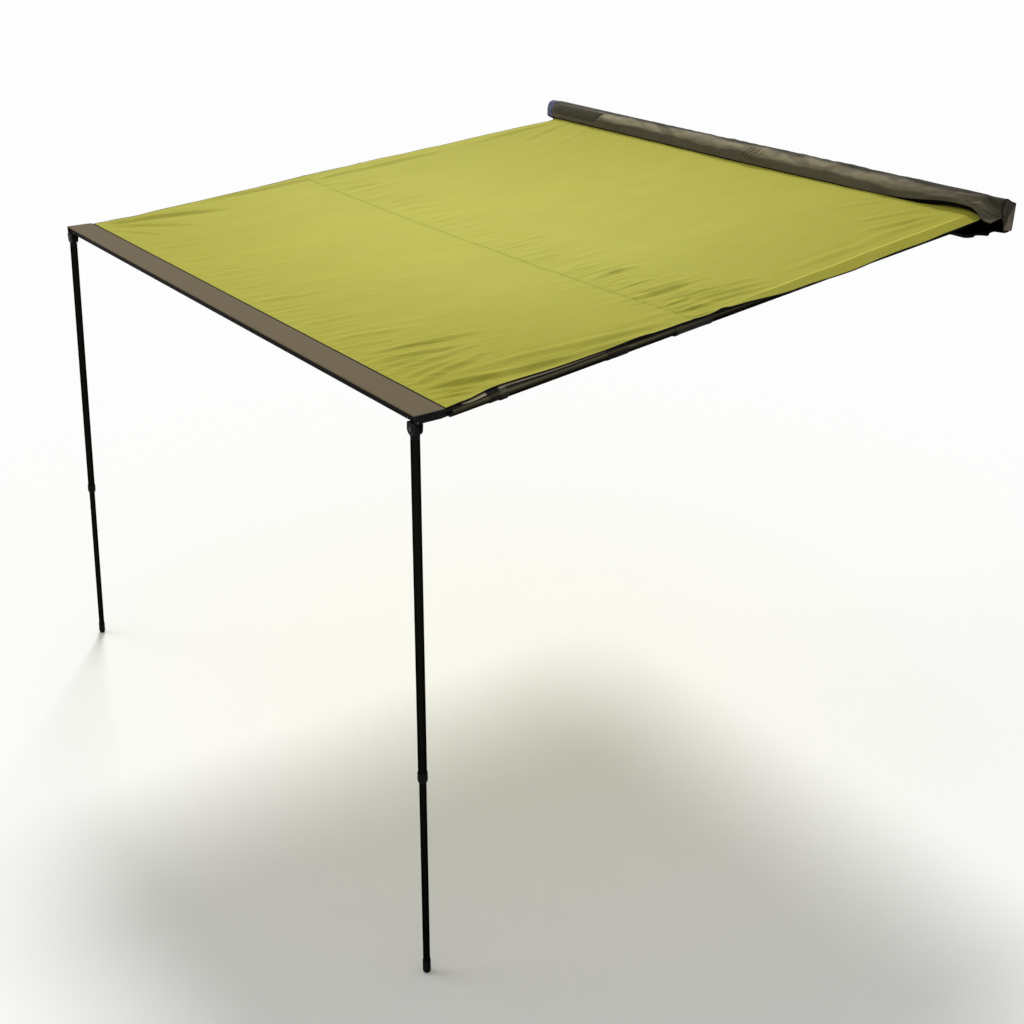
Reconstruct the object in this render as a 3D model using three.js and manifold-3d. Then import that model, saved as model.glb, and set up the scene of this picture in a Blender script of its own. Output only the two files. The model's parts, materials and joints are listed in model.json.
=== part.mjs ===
// Vehicle side awning, set up: a back board in a soft cover, a sloping canopy on two telescoping arms,
// and a front rail on two telescoping legs. Millimetres, X along the board, -Y outwards, +Z up.
// The origin is the middle of the board's flat rear face, which fastens to a roof rack.
import * as THREE from 'three';
import { mergeVertices } from 'three/addons/utils/BufferGeometryUtils.js';
import Module from 'manifold-3d';

const wasm = await Module();
wasm.setup();

// Driving dimensions
const HALF_LENGTH = 1000;
const GAP = 0.3;
const CANOPY_FALL = 0.09003;
const RAIL_FRONT_Y = -2035;
const RAIL_WIDTH = 80;
const RAIL_TOP_Z = -172;
const GROUND_Z = -1672;
const ROUND_SIDES = 32;
const PIN_SIDES = 20;

// Back board, its slots and its rack brackets
const BOARD_HALF_LENGTH = 1010;
const BOARD_DEPTH = 25;
const BOARD_HALF_HEIGHT = 38;
const SLOT_Z = 20;
const SLOT_MOUTH = 9;
const SLOT_WIDTH = 17;
const SLOT_LIP = 3;
const SLOT_DEPTH = 11;
const KEDER_Z = 31;
const BOARD_CAP = 3.4;
const RACK_BRACKET_X = 600;
const RACK_BRACKET_WIDTH = 40;
const RACK_PLATE = 5;

// Soft cover
const COVER_HALF_LENGTH = 1034;
const COVER_SKIN = 2;
const COVER_LIP_Y = -94;
const FLAP_HINGE = [-12, -39.5];
const FLAP_FRONT_Y = -122;
const FLAP_HEM_Z = -51;
const ZIP_CHAIN_HEIGHT = 5.6;

// Front rail
const PLATE_THICK = 3;
const CHANNEL_DEPTH = 17;
const RAIL_CAP = 3.7;
const RAIL_CAP_DEPTH = 20;

// Canopy: front edge, edge under the cover's lip, and rear edge in the board
const CLOTH_THICK = 1.2;
const CLOTH_FRONT = [-1957, -174.9];
const CLOTH_LIP = [-90, -7];
const CLOTH_REAR = [-22, KEDER_Z];
const CLOTH_SAG = 14;
const SAG_HALF_WIDTH = 930;
const FLAT_AT_RAIL = 20;
const FOLD_FADE = 110;

// Arms: the tip in the rail's end, how they fall and toe in, and the two pivots' places
const ARM_TIP = [988, -1958, -191];
const ARM_RISE = 0.0898;
const ARM_TOE = 0.023;
const ARM_PIVOT_Y = { right: -50, left: -100 };
const ARM_LUG = 8;
const BRACKET_PLATE = 5;
const BRACKET_HALF_WIDTH = 18;
const ARM_OUTER_R = 12.5;
const ARM_MID_R = 11;
const ARM_INNER_R = 9.5;
const TUBE_WALL = 1.15;
const ARM_SLEEVE_Y = [-1135, -1260];
const ARM_BAND_Y = [-1415, -1480];
const ARM_COLLAR_Y = [-1780, -1802];
const ARM_TIE_Y = [-1805, -1829];
const ARM_TONGUE_Y = -1938;
const TAIL_REACH = 8;

// Legs: pivot, foot and the places of the parts along them
const LEG_PIVOT = [984, -2025.5, -206];
const LEG_SPLAY = [76, -35.4];
const LEG_UPPER_R = 11;
const LEG_LOWER_R = 9;
const LEG_LUG_END = 20;
const LEG_TUBE_START = 24.3;
const LEG_TUBE_END = 892;
const LEG_COLLAR = [872, 898];
const LEG_LOWER_START = 582;
const LEG_FOOT = [1428, 1436];

const FINISH = {
  cloth: [0xb8b850, 0.85, 0],
  cover: [0x4b463a, 0.6, 0],
  lining: [0x15151a, 0.8, 0],
  plate: [0x786e60, 0.45, 0.6],
  black: [0x16160f, 0.45, 0.3],
  arm: [0x34352b, 0.4, 0.6],
  plastic: [0x121212, 0.5, 0],
  rubber: [0x0d0d0d, 0.85, 0],
  alloy: [0xa0a2a4, 0.4, 0.9],
  steel: [0x8c8f93, 0.35, 0.9],
  webbing: [0x101010, 0.9, 0],
};

const awning = new THREE.Group();

// Adds one named piece to a group
function piece(group, name, finish, geometry) {
  const [color, roughness, metalness] = FINISH[finish];
  const mesh = new THREE.Mesh(geometry, new THREE.MeshStandardMaterial({ color, roughness, metalness }));
  mesh.name = name;
  group.add(mesh);
}

function toSolid(geometry) {
  const bare = geometry.clone();
  bare.deleteAttribute('normal');
  bare.deleteAttribute('uv');
  const merged = mergeVertices(bare, 1e-4);
  return new wasm.Manifold(new wasm.Mesh({
    numProp: 3,
    vertProperties: merged.attributes.position.array,
    triVerts: new Uint32Array(merged.index.array),
  }));
}

function fromSolid(solid) {
  const mesh = solid.getMesh();
  const geometry = new THREE.BufferGeometry();
  geometry.setAttribute('position', new THREE.BufferAttribute(mesh.vertProperties, 3));
  geometry.setIndex(new THREE.BufferAttribute(mesh.triVerts, 1));
  return geometry;
}

const joined = (first, ...others) => fromSolid(others.reduce((a, b) => a.add(toSolid(b)), toSolid(first)));
const cut = (first, ...others) => fromSolid(others.reduce((a, b) => a.subtract(toSolid(b)), toSolid(first)));

function box(low, high) {
  const size = high.map((v, i) => v - low[i]);
  return new THREE.BoxGeometry(...size).translate(...low.map((v, i) => v + size[i] / 2));
}

const shapeOf = (points) => new THREE.Shape(points.map(([a, b]) => new THREE.Vector2(a, b)));

// A (Y, Z) outline carried along X between two places
const ALONG_X = new THREE.Matrix4().makeBasis(
  new THREE.Vector3(0, 1, 0), new THREE.Vector3(0, 0, 1), new THREE.Vector3(1, 0, 0));
function alongX(shape, from, to, curveSegments = 8) {
  const geometry = new THREE.ExtrudeGeometry(shape, { depth: to - from, bevelEnabled: false, curveSegments });
  return geometry.translate(0, 0, from).applyMatrix4(ALONG_X);
}

// A ring or rod about the Y axis, from (radius, place) pairs that close on themselves or on the axis
function turned(points, sides = ROUND_SIDES) {
  return new THREE.LatheGeometry(points.map(([r, y]) => new THREE.Vector2(r, y)), sides);
}

const tube = (outer, inner, from, to) => turned(
  [[inner, from], [outer, from], [outer, to], [inner, to], [inner, from]]);
const rod = (radius, from, to, sides) => turned([[0, from], [radius, from], [radius, to], [0, to]], sides);

// A flat lug about the origin, running to a place along Y, with a hole for its pin along Z
function lug(radius, end, thick, hole) {
  const shape = new THREE.Shape();
  shape.moveTo(radius, end);
  shape.lineTo(-radius, end);
  shape.lineTo(-radius, 0);
  shape.absarc(0, 0, radius, Math.PI, 2 * Math.PI, false);
  shape.lineTo(radius, end);
  shape.holes.push(new THREE.Path().absarc(0, 0, hole, 0, 2 * Math.PI, true));
  return new THREE.ExtrudeGeometry(shape, { depth: thick, bevelEnabled: false, curveSegments: 10 })
    .translate(0, 0, -thick / 2);
}

// A headed pin along Z, its heads just outside what it joins
function headedPin(radius, head, low, high, headThick) {
  return turned([
    [0, low - headThick], [head, low - headThick], [head, low], [radius, low],
    [radius, high], [head, high], [head, high + headThick], [0, high + headThick],
  ], PIN_SIDES).rotateX(Math.PI / 2);
}

// Group whose local Y runs along a direction and local Z along a hinge axis
function framed(origin, along, hinge) {
  const group = new THREE.Group();
  const y = new THREE.Vector3(...along).normalize();
  const z = new THREE.Vector3(...hinge).normalize();
  const x = new THREE.Vector3().crossVectors(y, z);
  group.quaternion.setFromRotationMatrix(new THREE.Matrix4().makeBasis(x, y, z));
  group.position.set(...origin);
  awning.add(group);
  return group;
}

// Points on a smooth curve through a few chosen ones
function smooth(points, count) {
  const curve = new THREE.SplineCurve(points.map(([a, b]) => new THREE.Vector2(a, b)));
  return curve.getPoints(count).map((p) => [p.x, p.y]);
}

// A skin of even thickness along an open (Y, Z) line, on the line's left side
function skinOutline(line, thick) {
  const inner = line.map(([y, z], i) => {
    const [y0, z0] = line[Math.max(i - 1, 0)];
    const [y1, z1] = line[Math.min(i + 1, line.length - 1)];
    const length = Math.hypot(y1 - y0, z1 - z0);
    return [y - (z1 - z0) / length * thick, z + (y1 - y0) / length * thick];
  });
  return [...line, ...inner.reverse()];
}

function buildBoard() {
  const h = BOARD_HALF_HEIGHT;
  const slot = (z) => [
    [0, z - SLOT_MOUTH / 2], [-SLOT_LIP, z - SLOT_MOUTH / 2], [-SLOT_LIP, z - SLOT_WIDTH / 2],
    [-SLOT_DEPTH, z - SLOT_WIDTH / 2], [-SLOT_DEPTH, z + SLOT_WIDTH / 2], [-SLOT_LIP, z + SLOT_WIDTH / 2],
    [-SLOT_LIP, z + SLOT_MOUTH / 2], [0, z + SLOT_MOUTH / 2],
  ];
  const front = -BOARD_DEPTH;
  const keder = [
    [front, KEDER_Z + 1.5], [front + 2, KEDER_Z + 1.5], [front + 2, KEDER_Z + 4], [front + 10, KEDER_Z + 4],
    [front + 10, KEDER_Z - 4], [front + 2, KEDER_Z - 4], [front + 2, KEDER_Z - 1.5], [front, KEDER_Z - 1.5],
  ];
  const outline = [
    [0, -h], ...slot(-SLOT_Z), ...slot(SLOT_Z), [0, h], [front + 2, h], [front, h - 2], ...keder,
    [front, -h + 2], [front + 2, -h],
  ];
  const shape = shapeOf(outline);
  shape.holes.push(shapeOf([[front + 3, -h + 4], [front + 3, 23], [-14, 23], [-14, -h + 4]]));
  piece(awning, 'back_board', 'alloy', alongX(shape, -BOARD_HALF_LENGTH, BOARD_HALF_LENGTH));
  const capShape = shapeOf([[0, -h], [0, h], [front + 2, h], [front, h - 2], [front, -h + 2], [front + 2, -h]]);
  for (const [side, s] of [['right', 1], ['left', -1]]) {
    const ends = [s * (BOARD_HALF_LENGTH + GAP), s * (BOARD_HALF_LENGTH + BOARD_CAP)].sort((a, b) => a - b);
    piece(awning, `${side}_board_cap`, 'plastic', alongX(capShape, ...ends));
  }
  piece(awning, 'rear_bead', 'webbing',
    rod(2.3, -BOARD_HALF_LENGTH + 5, BOARD_HALF_LENGTH - 5, 10).rotateZ(Math.PI / 2)
      .translate(0, CLOTH_REAR[0] + 2.8, KEDER_Z));
}

// Steel angle that sits on a rack bar, with its bolt and nut in the board's upper slot
function buildRackBracket(side, s) {
  const x = s * RACK_BRACKET_X;
  const half = RACK_BRACKET_WIDTH / 2;
  const angle = alongX(shapeOf([
    [GAP, -35], [60, -35], [60, -30], [GAP + RACK_PLATE, -30], [GAP + RACK_PLATE, 32], [GAP, 32],
  ]), x - half, x + half);
  const boltHole = rod(4.4, -2, 8, PIN_SIDES).translate(x, 0, SLOT_Z);
  const rackSlot = box([x - 4.5, 24, -40], [x + 4.5, 50, -20]);
  piece(awning, `${side}_rack_bracket`, 'steel', cut(angle, boltHole, rackSlot));
  const headBack = -SLOT_LIP - GAP;
  const head = box([x - 7, headBack - 5.5, SLOT_Z - 7], [x + 7, headBack, SLOT_Z + 7]);
  const shank = rod(3.9, headBack - 2, 16, PIN_SIDES).translate(x, 0, SLOT_Z);
  piece(awning, `${side}_slot_bolt`, 'steel', joined(head, shank));
  const nutFront = GAP + RACK_PLATE + GAP;
  const hex = rod(7.5, nutFront, nutFront + 6.5, 6);
  const bore = rod(4.3, nutFront - 1, nutFront + 8, PIN_SIDES);
  piece(awning, `${side}_slot_nut`, 'steel', cut(hex, bore).translate(x, 0, SLOT_Z));
}

// Soft cover: a skin over the top and front, two end panels and a lower flap with a zip
function buildCover() {
  const top = smooth([[-1, 41], [-22, 43.5], [-42, 53], [-58, 57], [-76, 48], [-89, 26], [COVER_LIP_Y, -5]], 16);
  piece(awning, 'cover_top', 'cover',
    alongX(shapeOf(skinOutline(top, COVER_SKIN)), -COVER_HALF_LENGTH, COVER_HALF_LENGTH));
  const panel = shapeOf([...top, [-66, -14], [-46, -36], [-1, -38]]);
  for (const [side, s] of [['right', 1], ['left', -1]]) {
    const ends = [s * (COVER_HALF_LENGTH + GAP), s * (COVER_HALF_LENGTH + COVER_SKIN)].sort((a, b) => a - b);
    piece(awning, `${side}_cover_end`, 'cover', alongX(panel, ...ends));
  }
  const hem = [FLAP_FRONT_Y, FLAP_HEM_Z];
  const flap = smooth([[FLAP_HINGE[0], FLAP_HINGE[1] - 1], [-60, -43.5], [-106, -44], [-118, -45.5], hem], 10);
  piece(awning, 'lower_flap', 'lining',
    alongX(shapeOf(skinOutline(flap, -COVER_SKIN)), -COVER_HALF_LENGTH, COVER_HALF_LENGTH));
}

// Zip chain along the flap's edge, its slider parked at the left end
function buildZip() {
  const y = FLAP_FRONT_Y - COVER_SKIN / 2;
  const chainTop = FLAP_HEM_Z - GAP - 0.1;
  const chainLow = chainTop - ZIP_CHAIN_HEIGHT;
  const end = HALF_LENGTH;
  piece(awning, 'zip_chain', 'plastic', box([-end, y - 0.8, chainLow], [end, y + 0.8, chainTop]));
  const slider = alongX(shapeOf([
    [y - 3.6, chainLow - 3], [y + 3.6, chainLow - 3], [y + 3.6, chainTop - 1], [y + 1.4, chainTop - 1],
    [y + 1.4, chainLow - 0.6], [y - 1.4, chainLow - 0.6], [y - 1.4, chainTop - 1], [y - 3.6, chainTop - 1],
  ]), 6 - end, 24 - end);
  const pull = box([11 - end, y - 0.7, chainLow - 24], [19 - end, y + 0.7, chainLow - 2]);
  piece(awning, 'zip_slider', 'plastic', joined(slider, pull));
}

// Front rail: a flat taupe plate with a groove for the canopy's bead, over a black channel
function buildRail() {
  const front = RAIL_FRONT_Y;
  const back = RAIL_FRONT_Y + RAIL_WIDTH;
  const top = RAIL_TOP_Z;
  const under = top - PLATE_THICK;
  const [, clothZ] = CLOTH_FRONT;
  const end = HALF_LENGTH - RAIL_CAP - GAP;
  const plate = shapeOf([
    [front + 2, under], [front, under + 0.8], [front, top - 1.6], [front + 1.6, top], [back, top],
    [back, clothZ + 1.1], [back - 1.5, clothZ + 1.1], [back - 1.5, top - 1.3], [back - 7.5, top - 1.3],
    [back - 7.5, top - 7.3], [back - 1.5, top - 7.3], [back - 1.5, clothZ - 1.1], [back, clothZ - 1.1],
    [back, top - 8.6], [back - 9, top - 8.6], [back - 9, under],
  ]);
  piece(awning, 'rail_plate', 'plate', alongX(plate, -end, end));
  const low = under - CHANNEL_DEPTH;
  const channelBack = front + 60;
  const channel = shapeOf([
    [front + 5, under - GAP], [front + 5, low + 2], [front + 7, low], [channelBack, low],
    [channelBack, under - GAP],
  ]);
  channel.holes.push(shapeOf([
    [front + 7, under - 2], [channelBack - 2, under - 2], [channelBack - 2, low + 2], [front + 8, low + 2],
  ]));
  piece(awning, 'rail_channel', 'black', alongX(channel, -end, end));
  piece(awning, 'front_bead', 'webbing',
    rod(2.2, -end + 6, end - 6, 10).rotateZ(Math.PI / 2).translate(0, back - 4.9, top - 4.3));
  const cap = shapeOf([
    [front + 2, top - RAIL_CAP_DEPTH], [front, top - RAIL_CAP_DEPTH + 2], [front, top - 1.6], [front + 1.6, top],
    [back - 1, top], [back, top - 1], [back, top - 16], [back - 8, top - 16], [back - 8, top - RAIL_CAP_DEPTH],
  ]);
  for (const [side, s] of [['right', 1], ['left', -1]]) {
    const ends = [s * (end + GAP), s * HALF_LENGTH].sort((a, b) => a - b);
    piece(awning, `${side}_rail_cap`, 'plastic', alongX(cap, ...ends));
  }
}

// One leg with its forked knuckle under the rail, laid out along the leg from its pivot
function buildLeg(side, s) {
  const pivot = [s * LEG_PIVOT[0], LEG_PIVOT[1], LEG_PIVOT[2]];
  const drop = LEG_PIVOT[2] - GROUND_Z;
  const along = [s * LEG_SPLAY[0], LEG_SPLAY[1], -drop];
  const hinge = [0, drop, LEG_SPLAY[1]];
  const length = Math.hypot(...along);
  const leg = framed(pivot, along, hinge);
  const knuckle = framed(pivot, [0, LEG_SPLAY[1], -drop], hinge);
  const fork = new THREE.Shape();
  fork.moveTo(-16, -13.4);
  fork.lineTo(16, -13.4);
  fork.lineTo(16, 0);
  fork.absarc(0, 0, 16, 0, Math.PI, false);
  fork.lineTo(-16, -13.4);
  fork.holes.push(new THREE.Path().absarc(0, 0, 3.6, 0, 2 * Math.PI, true));
  const body = new THREE.ExtrudeGeometry(fork, { depth: 22, bevelEnabled: false, curveSegments: 10 })
    .translate(0, 0, -11);
  piece(knuckle, `${side}_leg_knuckle`, 'plastic', cut(body, box([-20, -11.5, -6.8], [20, 20, 6.8])));
  piece(knuckle, `${side}_leg_pin`, 'steel', headedPin(3.3, 5.5, -11.3, 11.3, 2));
  const plug = turned([
    [0, LEG_LUG_END - 2], [LEG_UPPER_R, LEG_LUG_END - 2], [LEG_UPPER_R, LEG_TUBE_START - GAP],
    [LEG_UPPER_R - 1.6, LEG_TUBE_START - GAP], [LEG_UPPER_R - 1.6, 50], [0, 50],
  ]);
  piece(leg, `${side}_leg_lug`, 'plastic', joined(lug(11, LEG_LUG_END, 12.6, 3.6), plug));
  piece(leg, `${side}_upper_leg`, 'black', tube(LEG_UPPER_R, LEG_UPPER_R - 1.2, LEG_TUBE_START, LEG_TUBE_END));
  const [collarTop, collarEnd] = LEG_COLLAR;
  piece(leg, `${side}_leg_collar`, 'plastic', turned([
    [11.35, collarTop], [12.3, collarTop], [12.8, collarTop + 4], [12.8, collarEnd - 5], [11.4, collarEnd],
    [9.45, collarEnd], [9.45, LEG_TUBE_END + 0.4], [11.35, LEG_TUBE_END + 0.4], [11.35, collarTop],
  ]));
  const [capTop, tubeEnd] = LEG_FOOT;
  piece(leg, `${side}_lower_leg`, 'black', tube(LEG_LOWER_R, LEG_LOWER_R - 1.2, LEG_LOWER_START, tubeEnd));
  piece(leg, `${side}_foot`, 'rubber', turned([
    [9.4, capTop], [10.1, capTop], [10.4, capTop + 3], [10.4, length - 8], [9.2, length - 3], [6.5, length - 0.6],
    [0, length], [0, tubeEnd + 0.5], [9.4, tubeEnd + 0.5], [9.4, capTop],
  ]));
}

// Distance along an arm from its pivot to a place given by Y
const ARM_STRETCH = Math.hypot(1, ARM_RISE, ARM_TOE);
const alongArm = (side, y) => (ARM_PIVOT_Y[side] - y) * ARM_STRETCH;

// Strap round a tube with a tail that reaches to the canopy's side hem
function strap(inner, outer, s, from, to) {
  const shape = new THREE.Shape();
  shape.absarc(0, 0, outer, 0, 2 * Math.PI, false);
  shape.holes.push(new THREE.Path().absarc(0, 0, inner, 0, 2 * Math.PI, true));
  const ring = new THREE.ExtrudeGeometry(shape, { depth: to - from, bevelEnabled: false, curveSegments: 14 });
  const low = s > 0 ? 0 : -outer - TAIL_REACH;
  const tail = box([low, outer - 1.6, 0], [low + outer + TAIL_REACH, outer - 0.1, to - from]);
  return joined(ring, tail).rotateX(Math.PI / 2).translate(0, to, 0);
}

// One telescoping arm, laid out along the arm from its pivot
function buildArm(side, s) {
  const pivotY = ARM_PIVOT_Y[side];
  const reach = pivotY - ARM_TIP[1];
  const pivot = [s * (ARM_TIP[0] - ARM_TOE * reach), pivotY, ARM_TIP[2] + ARM_RISE * reach];
  const arm = framed(pivot, [s * ARM_TOE, -1, -ARM_RISE], [0, -ARM_RISE, 1]);
  const place = (y) => alongArm(side, y);
  buildArmBracket(side, s, pivot);
  const pinLow = -ARM_LUG / 2 - GAP;
  const pinHigh = ARM_LUG / 2 + BRACKET_PLATE + 3 * GAP;
  piece(arm, `${side}_arm_pin`, 'steel', headedPin(3.9, 6.5, pinLow, pinHigh, 2.6));
  const tubeStart = 33;
  const rootPlug = turned([
    [0, 26], [ARM_OUTER_R, 26], [ARM_OUTER_R, tubeStart - GAP], [11, tubeStart - GAP], [11, 62], [0, 62],
  ]);
  piece(arm, `${side}_arm_lug`, 'plastic', joined(lug(12.5, 30, ARM_LUG, 4.2), rootPlug));
  const [sleeveBack, sleeveFront] = ARM_SLEEVE_Y.map(place);
  const outerEnd = sleeveFront - 9;
  piece(arm, `${side}_arm_outer`, 'arm', tube(ARM_OUTER_R, ARM_OUTER_R - TUBE_WALL, tubeStart, outerEnd));
  piece(arm, `${side}_arm_sleeve`, 'plastic', turned([
    [12.85, sleeveBack], [14.2, sleeveBack], [14.2, sleeveBack + 12], [13.6, sleeveBack + 13],
    [13.6, sleeveFront - 14], [14.2, sleeveFront - 13], [14.2, sleeveFront - 1.5], [13, sleeveFront],
    [11.4, sleeveFront], [11.4, outerEnd + 0.4], [12.85, outerEnd + 0.4], [12.85, sleeveBack],
  ]));
  const [collarBack, collarFront] = ARM_COLLAR_Y.map(place);
  const midEnd = collarFront - 5;
  const midStart = collarFront - 960;
  piece(arm, `${side}_arm_mid`, 'arm', tube(ARM_MID_R, ARM_MID_R - TUBE_WALL, midStart, midEnd));
  piece(arm, `${side}_arm_collar`, 'plastic', turned([
    [11.3, collarBack], [12.6, collarBack], [13.2, collarBack + 2], [13.2, collarFront - 3], [12, collarFront],
    [9.85, collarFront], [9.85, midEnd + 0.4], [11.3, midEnd + 0.4], [11.3, collarBack],
  ]));
  const [bandBack, bandFront] = ARM_BAND_Y.map(place);
  piece(arm, `${side}_rear_tie`, 'webbing', strap(11.4, 12.7, s, bandBack, bandFront));
  const [tieBack, tieFront] = ARM_TIE_Y.map(place);
  piece(arm, `${side}_front_tie`, 'webbing', strap(9.9, 11.4, s, tieBack, tieFront));
  const innerEnd = place(ARM_TONGUE_Y);
  piece(arm, `${side}_arm_inner`, 'arm',
    tube(ARM_INNER_R, ARM_INNER_R - TUBE_WALL, midEnd - 460, innerEnd - 6));
  const tip = place(-1967);
  const tipPlug = turned([
    [0, innerEnd - 34], [8.2, innerEnd - 34], [8.2, innerEnd - 6 + GAP], [ARM_INNER_R, innerEnd - 6 + GAP],
    [ARM_INNER_R, innerEnd], [0, innerEnd],
  ]);
  piece(arm, `${side}_arm_tip`, 'plastic', joined(tipPlug, box([-6, innerEnd - 3, -3], [6, tip, 3])));
}

// Cranked plate from the board's front face to the arm's pin, which it holds from above
function buildArmBracket(side, s, pivot) {
  const front = -BOARD_DEPTH - GAP;
  const tip = pivot[1] - 14;
  const under = (y) => [y, pivot[2] + ARM_LUG / 2 + GAP + 0.1 + ARM_RISE * (y - pivot[1])];
  const over = (y) => [y, under(y)[1] + BRACKET_PLATE];
  const foot = [[front, 20], [front - 6, 20]];
  const outline = side === 'right'
    ? [under(front), ...foot, over(front - 6), over(tip), under(tip)]
    : [[front, -3], ...foot, [front - 6, 2], [-68, 2], over(-80), over(tip), under(tip), under(-76), [-64, -3]];
  const bent = alongX(shapeOf(outline), pivot[0] - BRACKET_HALF_WIDTH, pivot[0] + BRACKET_HALF_WIDTH);
  const hole = rod(4.6, -20, 20, PIN_SIDES).rotateX(Math.PI / 2 + Math.atan(ARM_RISE))
    .translate(pivot[0], pivot[1], pivot[2] + 7);
  piece(awning, `${side}_arm_bracket`, 'black', cut(bent, hole));
}

// Half width of the canopy at places along it: in at the ties, out over the arms at the back
const HEM_MARKS = [
  [CLOTH_FRONT[0], 992], [-1900, 988], [-1800, 972], [-1600, 979], [-1300, 978], [-1100, 982], [-850, 999],
  [-640, 1004], [-400, 996], [CLOTH_REAR[0], 984],
];

function clothHalfWidth(y) {
  const next = HEM_MARKS.findIndex(([place], k) => k > 0 && y <= place);
  const [y0, w0] = HEM_MARKS[next - 1];
  const [y1, w1] = HEM_MARKS[next];
  const t = (y - y0) / (y1 - y0);
  return w0 + (w1 - w0) * t * t * (3 - 2 * t);
}

// Main folds of the canopy: start, end, half width and height of each, in X and Y of its right half
const FOLDS = [
  [[985, -1930], [820, -1500], 26, 10],
  [[960, -1945], [640, -1640], 24, 8],
  [[900, -1950], [420, -1790], 22, 7],
  [[965, -1500], [900, -900], 30, 11],
  [[930, -1250], [860, -640], 28, 8],
  [[985, -1000], [970, -150], 24, 9],
  [[900, -420], [960, -110], 26, 8],
];

// Height of the canopy's folds and sag over its straight fall
function clothLift(x, y) {
  const across = Math.abs(x);
  const depth = (y - CLOTH_FRONT[0]) / (CLOTH_LIP[0] - CLOTH_FRONT[0]);
  const sagAcross = Math.max(0, 1 - (across / SAG_HALF_WIDTH) ** 2);
  const held = Math.min(Math.max((y - CLOTH_FRONT[0] - FLAT_AT_RAIL) / FOLD_FADE, 0), 1);
  let lift = -CLOTH_SAG * sagAcross * Math.sin(Math.PI * depth);
  for (const [[x0, y0], [x1, y1], wide, high] of FOLDS) {
    const length = Math.hypot(x1 - x0, y1 - y0);
    const along = ((across - x0) * (x1 - x0) + (y - y0) * (y1 - y0)) / length;
    const aside = ((across - x0) * (y1 - y0) - (y - y0) * (x1 - x0)) / length;
    const t = Math.min(Math.max(along / length, 0), 1);
    lift += held * high * Math.sin(Math.PI * t) * Math.exp(-((aside / wide) ** 2));
  }
  return lift;
}

// Canopy: one closed sheet of even thickness over a grid that is finer at its edges
function buildCanopy() {
  const across = 22;
  const along = 23;
  const rows = [];
  for (let j = 0; j <= along; j += 1) {
    const t = j / along;
    const eased = t - 0.11 * Math.sin(2 * Math.PI * t);
    const y = CLOTH_FRONT[0] + (CLOTH_LIP[0] - CLOTH_FRONT[0]) * eased;
    rows.push([y, CLOTH_FRONT[1] + CANOPY_FALL * (y - CLOTH_FRONT[0])]);
  }
  rows.push([-58, 12], [-BOARD_DEPTH - 4, KEDER_Z], CLOTH_REAR);
  const positions = [];
  for (const skin of [1, -1]) {
    for (const [y, z] of rows) {
      const inside = y > CLOTH_LIP[0] ? 0 : 1;
      const wide = clothHalfWidth(y);
      for (let i = 0; i <= across; i += 1) {
        const t = 2 * i / across - 1;
        const x = wide * Math.sin(t * 1.35) / Math.sin(1.35);
        positions.push(x, y, z + inside * clothLift(x, y) + skin * CLOTH_THICK / 2);
      }
    }
  }
  const wideCount = across + 1;
  const layer = wideCount * rows.length;
  const at = (i, j, under) => under * layer + j * wideCount + i;
  const index = [];
  for (let j = 0; j < rows.length - 1; j += 1) {
    for (let i = 0; i < across; i += 1) {
      const [a, b, c, d] = [at(i, j, 0), at(i + 1, j, 0), at(i + 1, j + 1, 0), at(i, j + 1, 0)];
      index.push(a, b, c, a, c, d);
      index.push(a + layer, c + layer, b + layer, a + layer, d + layer, c + layer);
    }
  }
  const wall = (a, b) => index.push(b, a, a + layer, b, a + layer, b + layer);
  for (let i = 0; i < across; i += 1) {
    wall(at(i, 0, 0), at(i + 1, 0, 0));
    wall(at(i + 1, rows.length - 1, 0), at(i, rows.length - 1, 0));
  }
  for (let j = 0; j < rows.length - 1; j += 1) {
    wall(at(across, j, 0), at(across, j + 1, 0));
    wall(at(0, j + 1, 0), at(0, j, 0));
  }
  const geometry = new THREE.BufferGeometry();
  geometry.setAttribute('position', new THREE.Float32BufferAttribute(positions, 3));
  geometry.setIndex(index);
  piece(awning, 'canopy', 'cloth', geometry);
}

buildBoard();
buildCover();
buildZip();
buildRail();
buildCanopy();
for (const [side, s] of [['right', 1], ['left', -1]]) {
  buildRackBracket(side, s);
  buildLeg(side, s);
  buildArm(side, s);
}

export default awning;
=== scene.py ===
"""Looks of a vehicle side awning that stands set up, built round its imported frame.

A back board in a soft cover, a sloping canopy over two telescoping arms, and a front rail on two telescoping
legs. Metres, X along the board, -Y outwards, +Z up.
"""

from __future__ import annotations

import json
import logging
import math
from collections.abc import Sequence
from dataclasses import dataclass, field
from enum import Enum
from functools import reduce

import bmesh
import bpy
import numpy as np
from mathutils import Matrix


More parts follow.
